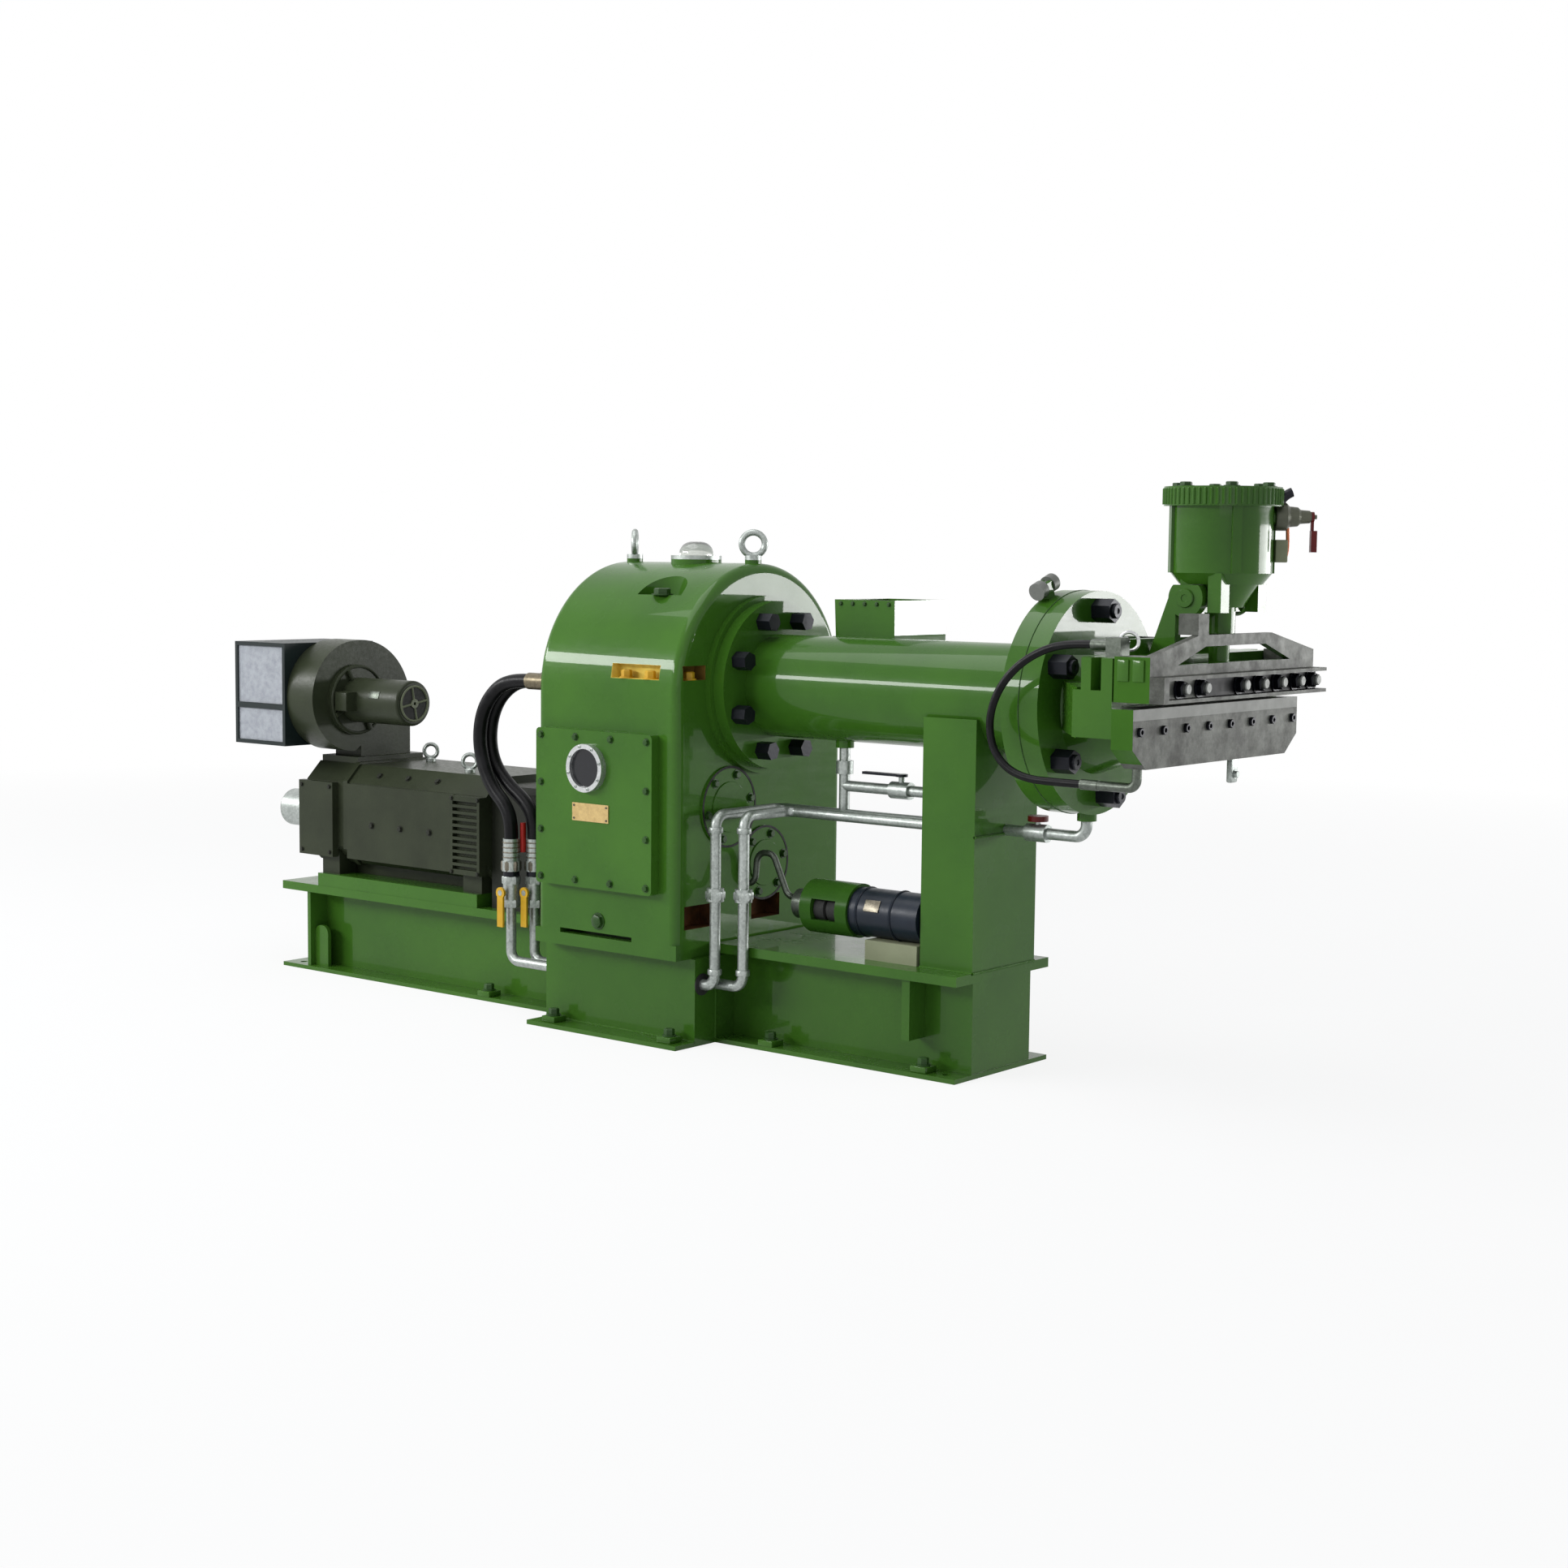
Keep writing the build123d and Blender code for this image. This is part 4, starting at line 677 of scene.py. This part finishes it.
def around(centre, radius, count, start):
    turns = [math.radians(start + 360 * i / count) for i in range(count)]
    return [(centre[0] + radius * math.cos(t), centre[1] + radius * math.sin(t)) for t in turns]


def corners(xs, zs, inset):
    return [(x, z) for x in (xs[0] + inset, xs[1] - inset) for z in (zs[0] + inset, zs[1] - inset)]


# Places on both sides of the machine, facing outwards.
def facingOut(points):
    return [((x, side * y, z), (0, side, 0)) for x, y, z in points for side in bothSides]


# Gearbox: panel bolts, bearing cover faces, sight glass screws, plate rivets, pocket nuts, shoulder bolts
# and a plug. Here and below, the size of a bolt, screw or nut is its radius and height.
gearbox = {
    "panelInset": 0.022, "panelCount": 4, "panelBolt": (0.0095, 0.009),
    "covers": (((-0.166, 0.727), 0.127), ((0.007, 0.538), 0.118)),
    "coverCount": 6, "coverInset": 0.024, "coverBolt": (0.012, 0.011), "coverStart": 12,
    "grooveWidth": 0.007, "grooveDepth": 0.0012, "grooveSides": 64,
    "discShare": 0.62, "discHeight": 0.004, "discSides": 48,
    "screwCount": 8, "screwInset": 0.0075, "screw": (0.0048, 0.0025), "screwStart": 15,
    "rivetInset": 0.008, "rivet": (0.0036, 0.002),
    "pocketXs": (0.337, 0.435), "pocketY": 0.384, "pocketZ": 1.124, "endPocket": (0.542, 0.327),
    "nut": (0.017, 0.026),
    "recess": (0.372, 0.262, 1.378), "recessBolt": (0.026, 0.022),
    "plug": (0.239, 0.361), "plugBolt": (0.021, 0.014),
}


def addGearboxDetails(s):
    low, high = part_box("gearbox_side_panels")
    xs = spread(low[0] + s["panelInset"], high[0] - s["panelInset"], s["panelCount"])
    zs = spread(low[2] + s["panelInset"], high[2] - s["panelInset"], s["panelCount"])
    rim = [(x, high[1], z) for x in xs for z in zs if x in (xs[0], xs[-1]) or z in (zs[0], zs[-1])]
    addSet("panelBolts", facingOut(rim), s["panelBolt"], "greenBolt")

    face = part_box("bearing_covers")[1][0]
    bolts = []
    discs, grooves = bmesh.new(), bmesh.new()
    for (y, z), radius in s["covers"]:
        for by, bz in around((y, z), radius - s["coverInset"], s["coverCount"], s["coverStart"]):
            bolts.append(((face, by, bz), towardsDie))
        inner, depth = radius - s["grooveWidth"], s["grooveDepth"]
        disc = drum(radius * s["discShare"], s["discHeight"], depth)
        turned(discs, (face, y, z), towardsDie, disc, s["discSides"])
        # Each cover's rim groove is a near-black ring: painted shade in the groove.
        groove = [(radius, 0), (radius, depth), (inner, depth), (inner, 0)]
        turned(grooves, (face, y, z), towardsDie, groove, s["grooveSides"])
    addSet("coverBolts", bolts, s["coverBolt"], "greenBolt")
    addPiece("coverDiscs", discs, "green")
    addPiece("coverGrooveShade", grooves, "dark")

    low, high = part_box("sight_glass_ring")
    middle = ((low[0] + high[0]) / 2, (low[2] + high[2]) / 2)
    ring = around(middle, (high[0] - low[0]) / 2 - s["screwInset"], s["screwCount"], s["screwStart"])
    addSet("glassScrews", [((x, low[1], z), towardsNear) for x, z in ring], s["screw"], "zinc", socketHead)

    low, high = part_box("nameplate")
    rivets = corners((low[0], high[0]), (low[2], high[2]), s["rivetInset"])
    places = [((x, low[1], z), towardsNear) for x, z in rivets]
    addSet("plateRivets", places, s["rivet"], "plated", socketHead)

    nuts = [(x, s["pocketY"]) for x in s["pocketXs"]] + [s["endPocket"]]
    places = [((x, side * y, s["pocketZ"]), upwards) for x, y in nuts for side in bothSides]
    addSet("pocketNuts", places, s["nut"], "yellow")

    x, y, z = s["recess"]
    places = [((x, side * y, z), upwards) for side in bothSides]
    addSet("shoulderBolts", places, s["recessBolt"], "greenBolt")

    x, z = s["plug"]
    places = [((x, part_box("gearbox_case")[0][1], z), towardsNear)]
    addSet("drainPlug", places, s["plugBolt"], "greenBolt")


addGearboxDetails(gearbox)
print("gearbox detailed")

# Motor: cover screws, end box and vent screws, lifting eyes on its top.
motor = {
    "coverXs": (-1.010, -0.863, -0.716), "coverZ": 0.547, "chamfer": (0.195, 0.718), "coverRise": 0.004,
    "bolt": (0.0095, 0.008), "inset": 0.016, "endBox": (-1.381, -1.201), "endFace": 0.250,
    "small": (0.0065, 0.006),
    "eyes": ((-1.060, 0.09), (-0.647, -0.11)), "eyeRing": 0.024, "eyeBar": 0.007,
    "eyeFacing": (0.63, -0.776, 0), "collar": 0.018, "collarHeight": 0.014, "collarSides": 18,
}


def addMotorDetails(s):
    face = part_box("motor_body")[1][1] + s["coverRise"]
    y, z = s["chamfer"]
    places = facingOut((x, face, s["coverZ"]) for x in s["coverXs"])
    places += [((x, side * y, z), (0, side, 1)) for x in s["coverXs"] for side in bothSides]
    addSet("coverScrews", places, s["bolt"], "guard")

    low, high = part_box("motor_covers")
    ends = corners(s["endBox"], (low[2], high[2]), s["inset"])
    places = facingOut((x, s["endFace"], z) for x, z in ends)
    low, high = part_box("motor_vents")
    rims = corners((low[0], high[0]), (low[2], high[2]), s["inset"] / 2)
    places += facingOut((x, high[1], z) for x, z in rims)
    addSet("boxScrews", places, s["small"], "guard")

    bm = bmesh.new()
    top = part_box("blower_scroll")[0][2]
    foot = drum(s["collar"], s["collarHeight"], s["eyeBar"] / 2)
    for x, y in s["eyes"]:
        turned(bm, (x, y, top), upwards, foot, s["collarSides"])
        middle = (x, y, top + s["collarHeight"] + s["eyeRing"])
        ringBar(bm, middle, s["eyeFacing"], s["eyeRing"], s["eyeBar"])
    addPiece("motorEyes", bm, "zinc")


addMotorDetails(motor)

# Blower: inlet ring, spider, terminal cover, blank plate, the guard over the fan end and a disc of painted
# shade behind it.
blower = {
    "axis": (-0.146, 0.976), "ring": 0.118, "ringBar": 0.006, "legs": 4, "legStart": 25, "leg": 0.008,
    "legFrom": 0.078, "cover": (0.017, 0.073), "coverHalf": 0.031, "coverThick": 0.004, "coverEdge": 0.0015,
    "guard": 0.060, "guardBar": 0.004, "shade": 0.056, "shadeThick": 0.0015, "hub": 0.016, "hubHole": 0.006,
    "hubHeight": 0.006, "hubFloor": 0.001, "guardLift": 0.0025, "spokes": 4, "spokeStart": 10,
    "ringSides": 56, "legSides": 10, "shadeSides": 40, "guardSides": 44, "hubSides": 20, "spokeSides": 8,
    "tagX": (-1.035, -0.985), "tagSink": 0.0005,
    "tag": {"turn": 20, "half": 0.013, "thick": 0.002, "edge": 0.0005},
}


def addBlowerDetails(s):
    y, z = s["axis"]
    low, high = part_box("blower_motor")
    start, end = low[0], high[0]
    bm = bmesh.new()
    ringBar(bm, (start, y, z), towardsDie, s["ring"], s["ringBar"], s["ringSides"])
    leg = drum(s["leg"], s["ring"] - s["legFrom"], 0, -s["leg"])
    for ly, lz in around((0, 0), 1, s["legs"], s["legStart"]):
        foot = (start + s["leg"], y + ly * s["legFrom"], z + lz * s["legFrom"])
        turned(bm, foot, (0, ly, lz), leg, s["legSides"])
    addPiece("inletSpider", bm, "motor")

    near, far = s["cover"]
    back = (start + near, low[1] - s["coverThick"], z - s["coverHalf"])
    addBox("terminalCover", back, (start + far, low[1], z + s["coverHalf"]), s["coverEdge"], "motor")

    # A near-black disc behind the fan guard: painted shade in the fan's opening.
    thick, hub = s["shadeThick"], s["hub"]
    profile = [(s["shade"], 0), (s["shade"], thick), (hub, thick), (hub, 0)]
    addSet("fanPaintedShade", [((end, y, z), towardsDie)], (profile, s["shadeSides"]), "dark", turned)

    bm = bmesh.new()
    centre = (end + s["guardLift"], y, z)
    ringBar(bm, centre, towardsDie, s["guard"], s["guardBar"], s["guardSides"])
    hole, rise = s["hubHole"], s["hubHeight"]
    profile = [(hub, 0), (hub, rise), (hole, rise), (hole, s["hubFloor"])]
    turned(bm, (end, y, z), towardsDie, profile, s["hubSides"])
    spoke = drum(s["guardBar"], s["guard"], 0, hub - hole)
    for ly, lz in around((0, 0), 1, s["spokes"], s["spokeStart"]):
        turned(bm, centre, (0, ly, lz), spoke, s["spokeSides"])
    addPiece("fanGuard", bm, "olive")

    radius = (high[2] - low[2]) / 2 - s["tagSink"]
    addTag("blankTag", s["tagX"], s["axis"], radius, s["tag"], "tubeSteel")


addBlowerDetails(blower)
print("motor and blower detailed")

# Base: levelling pads with bolts, and weld beads along the seams.
base = {
    "pads": ((-0.447, 0.213), (0.025, 0.382), (0.519, 0.382), (0.783, 0.213), (1.352, 0.205)),
    "padHalf": 0.028, "padHeight": 0.018, "padEdge": 0.002, "bolt": (0.017, 0.024),
    "plate": 0.014, "bead": 0.0045, "wall": 0.337, "shelf": 0.706, "bedSide": 0.240,
}


def addBaseDetails(s):
    bm = bmesh.new()
    bolts = []
    half, top = s["padHalf"], s["plate"] + s["padHeight"]
    for x, y in s["pads"]:
        for side in bothSides:
            low, high = (x - half, side * y - half, s["plate"]), (x + half, side * y + half, top)
            softBox(bm, low, high, s["padEdge"])
            bolts.append(((x, side * y, top), upwards))
    addPiece("levelPads", bm, "green")
    addSet("levelBolts", bolts, s["bolt"], "greenBolt")

    (back, _, bed), (front, side, _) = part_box("column")
    (rear, _, _), (end, _, _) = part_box("gearbox_plinth")
    wall, plate, shelf = s["wall"], s["plate"], s["shelf"]
    seams = [
        [(back, -side, bed), (front, -side, bed), (front, side, bed), (back, side, bed)],
        [(front, -side, shelf), (front, side, shelf)],
        [(end, -s["bedSide"], bed), (end, -s["bedSide"], plate)],
        [(rear, -wall, plate), (end, -wall, plate)],
        [(rear, wall, plate), (end, wall, plate)],
    ]
    for i, seam in enumerate(seams):
        for j, (first, last) in enumerate(zip(seam, seam[1:])):
            middle = tuple((a + b) / 2 for a, b in zip(first, last))
            addTube(f"weldBead_{i}_{j}", [first, middle, last], s["bead"], "weld")


addBaseDetails(base)
print("base detailed")

# Head: flange seam, stud ends, jaw screws and fitting, clamp bar bolts, cap ribs and nuts, the rod's
# gland, ear pins, lugs on the upper jaw's ends and the ring on the hose's upper joint. The size of a disc
# is its radius, its rise, the height of its hollow's floor and its sides.
head = {
    "axis": 1.100, "seamX": 1.731, "flange": 0.3165, "seamBar": 0.0014, "seamSides": (96, 6),
    "studCircle": 0.262, "studs": 6, "studStart": 95, "studEnd": (0.021, 0.004, 0.001, 20),
    "jawScrews": 8, "jawReach": 0.418, "jawZ": 1.060, "jawScrew": (0.0125, 0.009),
    "barYs": (-0.318, -0.212, 0.0, 0.106, 0.212, 0.318, 0.412), "barRise": 0.0345, "barDepth": 0.034,
    "barNut": (0.022, 0.020), "tip": 0.0155, "tipReach": 0.031, "tipEdge": 0.003, "tipSides": 16,
    "fitting": ((2.124, 0.140, 0.888), (2.142, 0.176, 0.960)), "fittingEdge": 0.005,
    "fittingAt": (0.158, 0.912), "fittingBolt": (0.010, 0.010),
    "capRibs": 60, "rib": 0.0048, "ribInset": 0.001, "ribEnds": 0.004, "ribSides": 8,
    "capNuts": 6, "capStart": -51, "capCircle": 0.128, "capNut": (0.017, 0.012),
    "cylinder": (2.169, 0.0), "capZ": (1.650, 1.702), "capRadius": 0.158,
    "glandTop": 1.441, "glandDrop": 0.062, "glandRadii": (0.100, 0.062), "glandBore": 0.047, "glandSides": 40,
    "earPin": (2.139, 0.138, 1.4035), "pinDisc": (0.026, 0.004, 0.002, 24),
    "lock": ((2.030, -0.360, 1.281), (2.074, -0.310, 1.290)), "lockHub": 0.014, "hubSides": 20,
    "lockRing": 0.0255, "lockBar": 0.0050, "lockFacing": (0.63, -0.70, 0.33), "lockSides": 36,
    "endLugs": ((2.126, 2.160), (2.172, 2.206)), "endLugZ": (1.192, 1.249), "endLugY": (0.449, 0.4545),
    "endLugEdge": 0.0025,
}


def addHeadDetails(s):
    seam = (s["flange"], s["seamBar"], *s["seamSides"])
    addSet("flangeSeam", [((s["seamX"], 0, s["axis"]), towardsDie)], seam, "greenBolt", ringBar)

    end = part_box("head_studs")[1][0]
    ring = around((0, s["axis"]), s["studCircle"], s["studs"], s["studStart"])
    addSet("studEnds", [((end, y, z), towardsDie) for y, z in ring], s["studEnd"], "bolt", hollowDisc)

    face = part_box("lower_jaw")[1][0]
    ys = spread(-s["jawReach"], s["jawReach"], s["jawScrews"])
    places = [((face, y, s["jawZ"]), towardsDie) for y in ys]
    addSet("jawScrews", places, s["jawScrew"], "bolt", socketHead)
    bm = bmesh.new()
    softBox(bm, *s["fitting"], s["fittingEdge"])
    boltHead(bm, (s["fitting"][1][0], *s["fittingAt"]), towardsDie, *s["fittingBolt"])
    addPiece("jawFitting", bm, "zinc")

    low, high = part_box("upper_jaw")
    seats = [((high[0] - s["barDepth"], y, low[2] + s["barRise"]), towardsDie) for y in s["barYs"]]
    tip = drum(s["tip"], s["tipReach"], s["tipEdge"])
    addSet("barNuts", seats, s["barNut"], "bolt", body="die_clamp")
    addSet("barTips", seats, (tip, s["tipSides"]), "tipSteel", turned, "die_clamp")

    bottom, top = s["capZ"]
    rib = drum(s["rib"], top - bottom - s["ribEnds"], s["rib"] / 2, s["ribEnds"])
    ring = around(s["cylinder"], s["capRadius"] - s["ribInset"], s["capRibs"], 0)
    addSet("capRibs", [((x, y, bottom), upwards) for x, y in ring], (rib, s["ribSides"]), "green", turned)
    ring = around(s["cylinder"], s["capCircle"], s["capNuts"], s["capStart"])
    addSet("capNuts", [((x, y, top), upwards) for x, y in ring], s["capNut"], "greenBolt")

    (wide, narrow), bore, drop = s["glandRadii"], s["glandBore"], s["glandDrop"]
    profile = [(bore, 0), (wide, 0), (narrow, -drop), (bore, -drop), (bore, 0)]
    places = [((*s["cylinder"], s["glandTop"]), upwards)]
    addSet("rodGland", places, (profile, s["glandSides"]), "green", turned)
    addSet("earPinDiscs", facingOut([s["earPin"]]), s["pinDisc"], "green", hollowDisc)

    bm = bmesh.new()
    bottom, top = s["endLugZ"]
    for near, far in s["endLugs"]:
        for side in bothSides:
            back, front = sorted(side * y for y in s["endLugY"])
            softBox(bm, (near, back, bottom), (far, front, top), s["endLugEdge"])
    addPiece("jawEndLugs", bm, "green", "die_clamp")

    bm = bmesh.new()
    start, end = (Vector(at) for at in s["lock"])
    hub = drum(s["lockHub"], (end - start).length, s["lockBar"])
    turned(bm, start, end - start, hub, s["hubSides"])
    ringBar(bm, end, s["lockFacing"], s["lockRing"], s["lockBar"], s["lockSides"])
    addPiece("hoseLockRing", bm, "chrome")


addHeadDetails(head)

# Hand valve on the cylinder: its cast body, black tap, copper tube and small block.
handValve = {
    "axis": (2.169, 0.0, 1.624), "turn": 39, "seat": 0.140, "sides": 28,
    "profile": [(0, 0), (0.036, 0), (0.038, 0.004), (0.038, 0.030), (0.028, 0.040), (0.026, 0.062),
                (0.019, 0.070), (0.017, 0.095), (0, 0.097)],
    "block": (0.142, 0.175, -0.123, -0.062), "blockHalf": 0.020, "blockEdge": 0.003,
    "tube": ((0.176, -0.030), (0.178, -0.060), (0.177, -0.100), (0.170, -0.118)), "tubeRadius": 0.005,
    "tap": ((0.150, 0.030), (0.160, 0.056), (0.186, 0.066)), "tapRadius": 0.013,
}


def addHandValve(s):
    turn = math.radians(s["turn"])
    out = Vector((math.cos(turn), math.sin(turn), 0))
    centre = Vector(s["axis"])
    addSet("valveCasting", [(centre + out * s["seat"], out)], (s["profile"], s["sides"]), "casting", turned)
    near, far, bottom, top = s["block"]
    low, high = (near, -s["blockHalf"], bottom), (far, s["blockHalf"], top)
    place = Matrix.Translation(centre) @ Matrix.Rotation(turn, 4, "Z")
    addBox("valveBlock", low, high, s["blockEdge"], "beige", place)
    lines = (("valveTube", "tube", "tubeRadius", "copper"), ("valveTap", "tap", "tapRadius", "bolt"))
    for name, route, radius, finish in lines:
        points = [centre + out * reach + Vector((0, 0, rise)) for reach, rise in s[route]]
        addTube(name, points, s[radius], finish)


addHandValve(handValve)
print("head detailed")

# Pipework: nuts, ferrule rings and a spacer on the hose stacks, unions, elbow collars, and a ring of painted
# shade where a pipe enters the plinth. Nuts, sleeves, unions, collars and the spacer have a radius, a height
# and sides.
pipework = {
    "stacks": ((-0.234, -0.318), (-0.176, -0.268)), "nutZ": 0.468, "nut": (0.0335, 0.034, hexSides),
    "ferruleZ": 0.514, "ferruleRings": 4, "ferrule": 0.0275, "ferrulePitch": 0.016, "ferruleBar": 0.0022,
    "ferruleSides": (28, 6), "sleeveZ": 0.449, "sleeve": (0.027, 0.020, 24),
    "unionZs": (0.349, 0.425), "union": (0.031, 0.026, hexSides),
    "spacerAt": (-0.205, -0.293, 0.530), "spacer": (0.0098, 0.096, 16),
    "uprights": ((0.634, -0.304), (0.711, -0.262)), "collarZs": (0.226, 0.662), "collar": (0.0225, 0.018, 24),
    "pipeUnionZ": 0.459,
    "entry": (0.583, -0.304, 0.190), "entryRadius": 0.034, "entryDepth": 0.003, "entrySides": 28,
}


def addPipeDetails(s):
    nuts, sleeves, unions = bmesh.new(), bmesh.new(), bmesh.new()
    for x, y in s["stacks"]:
        collar(nuts, (x, y, s["nutZ"]), upwards, *s["nut"])
        for z in (s["ferruleZ"] + i * s["ferrulePitch"] for i in range(s["ferruleRings"])):
            ringBar(nuts, (x, y, z), upwards, s["ferrule"], s["ferruleBar"], *s["ferruleSides"])
        collar(sleeves, (x, y, s["sleeveZ"]), upwards, *s["sleeve"])
        for z in s["unionZs"]:
            collar(unions, (x, y, z), upwards, *s["union"])
    for x, y in s["uprights"]:
        for z in s["collarZs"]:
            collar(unions, (x, y, z), upwards, *s["collar"])
        collar(unions, (x, y, s["pipeUnionZ"]), upwards, *s["union"])
    addPiece("ferruleNuts", nuts, "plated")
    addPiece("hoseSleeves", sleeves, "bolt")
    addPiece("pipeUnions", unions, "zinc")
    addSet("hoseSpacer", [(s["spacerAt"], upwards)], s["spacer"], "brightRed", collar)

    # The ring where the pipe enters the plinth is near-black: painted shade in the opening.
    r, depth = s["entryRadius"], s["entryDepth"]
    profile = [(r, 0), (r, depth), (r / 2, depth), (r / 2, 0)]
    addSet("pipeEntryShade", [(s["entry"], towardsDie)], (profile, s["entrySides"]), "dark", turned)


addPipeDetails(pipework)

# Feed hopper: screws along the top rim of its near face.
hopper = {"inset": 0.012, "count": 5, "screw": (0.006, 0.006), "proud": 0.0008}


def addHopperDetails(s):
    low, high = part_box("feed_hopper")
    xs = spread(low[0] + 2 * s["inset"], high[0] - 2 * s["inset"], s["count"])
    places = [((x, low[1] + s["proud"], high[2] - s["inset"]), towardsNear) for x in xs]
    addSet("hopperScrews", places, s["screw"], "greenBolt")


addHopperDetails(hopper)

# Oil pump: the coupling behind the bell's window in painted shade, bell bolts, and the motor's bands and
# blank plate.
pump = {
    "axis": (-0.100, 0.443), "bellBolts": 6, "bellCircle": 0.066, "bellStart": 30, "bolt": (0.008, 0.008),
    "coupling": 0.040, "couplingHalf": 0.043, "couplingGap": 0.006, "couplingShift": 0.030, "neck": 0.032,
    "couplingSides": 28, "bands": (0.030, 0.155), "band": 0.004, "bandSides": (48, 6),
    "tagX": (0.060, 0.115), "tag": {"turn": 24, "half": 0.018, "thick": 0.002, "edge": 0.0006},
}


def addPumpDetails(s):
    y, z = s["axis"]
    low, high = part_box("pump_bell")
    middle = ((low[0] + high[0]) / 2, y - s["couplingShift"], z)
    half, gap, wide, neck = s["couplingHalf"], s["couplingGap"], s["coupling"], s["neck"]
    profile = [(0, -half), (wide, -half), (wide, -gap), (neck, -gap / 2), (neck, gap / 2), (wide, gap),
               (wide, half), (0, half)]
    # The coupling is near-black: painted shade inside the bell.
    addSet("pumpCoupling", [(middle, towardsDie)], (profile, s["couplingSides"]), "dark", turned)
    ring = around((y, z), s["bellCircle"], s["bellBolts"], s["bellStart"])
    addSet("bellBolts", [((low[0], by, bz), towardsMotor) for by, bz in ring], s["bolt"], "bolt")

    low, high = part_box("pump_motor")
    radius = (high[2] - low[2]) / 2
    places = [((low[0] + reach, y, z), towardsDie) for reach in s["bands"]]
    addSet("pumpMotorBands", places, (radius, s["band"], *s["bandSides"]), "navy", ringBar)
    span = [low[0] + reach for reach in s["tagX"]]
    addTag("pumpBlankPlate", span, s["axis"], radius, s["tag"], "plated")


addPumpDetails(pump)
print("pipes and pump detailed")

# A pale floor, a white surround and soft lamps, with two long window-like strips for the gloss.
studio = {
    "floorSize": 60.0,
    "floor": (tint(236, 237, 238), tint(240, 241, 242)),
    "floorGrain": (3.0, 3.0),
    "white": (1, 1, 1, 1),
    "surround": tint(214, 220, 226),
    "ambient": 0.44,
    "floorGlow": (0.86, 1.0),
    "fadeSquare": (9.0, 90.0),
    "lamps": {
        "overhead": {"at": (-0.5, -1.5, 6.5), "to": (0.3, 0.0, 0.8), "size": (6.0, 4.0), "power": 190},
        "windowNear": {"at": (-5.4, -6.4, 3.9), "to": (0.3, 0.0, 1.2), "size": (9.0, 1.0), "power": 640},
        "windowEnd": {"at": (6.4, 7.1, 1.35), "to": (0.8, 0.0, 1.3), "size": (8.0, 0.7), "power": 320},
        "fillFront": {"at": (6.5, -6.0, 3.2), "to": (0.8, 0.0, 0.9), "size": (4.0, 3.0), "power": 25},
    },
}


def addFloor():
    bm = bmesh.new()
    bmesh.ops.create_grid(bm, x_segments=1, y_segments=1, size=studio["floorSize"])
    mesh = bpy.data.meshes.new("studioFloor")
    bm.to_mesh(mesh)
    bm.free()
    floor = bpy.data.objects.new("studioFloor", mesh)
    bpy.context.collection.objects.link(floor)
    shade = Shade("studioFloor")
    colour = shade.mix(shade.noise(*studio["floorGrain"]), *studio["floor"])
    matte = shade.node("ShaderNodeBsdfDiffuse", sockets={"Color": colour})
    glow = shade.node("ShaderNodeEmission", sockets={"Color": studio["white"], "Strength": 1.0})
    x, y, _ = shade.axes()
    near, far = studio["fadeSquare"]
    away = (x * x + y * y) * (1 / far)
    shown = shade.shownRays() * shade.ramp(away, near / far, 1.0, *studio["floorGlow"])
    mixed = shade.node("ShaderNodeMixShader", sockets={0: shown, 1: matte, 2: glow})
    mesh.materials.append(shade.close(mixed))


def addSurround():
    shade = Shade("studioSurround", bpy.data.worlds)
    dim = shade.node("ShaderNodeBackground", sockets={0: studio["surround"], 1: studio["ambient"]})
    white = shade.node("ShaderNodeBackground", sockets={0: studio["white"], 1: 1.0})
    mixed = shade.node("ShaderNodeMixShader", sockets={0: shade.shownRays(), 1: dim, 2: white})
    bpy.context.scene.world = shade.close(mixed, "ShaderNodeOutputWorld")


def addLamp(name, settings):
    data = bpy.data.lights.new(name, "AREA")
    data.shape = "RECTANGLE"
    data.size, data.size_y = settings["size"]
    data.energy = settings["power"]
    lamp = bpy.data.objects.new(name, data)
    lamp.location = settings["at"]
    ahead = Vector(settings["to"]) - Vector(settings["at"])
    lamp.rotation_euler = ahead.to_track_quat("-Z", "Y").to_euler()
    bpy.context.collection.objects.link(lamp)


addFloor()
addSurround()
for name, settings in studio["lamps"].items():
    addLamp(name, settings)
print("studio lit")
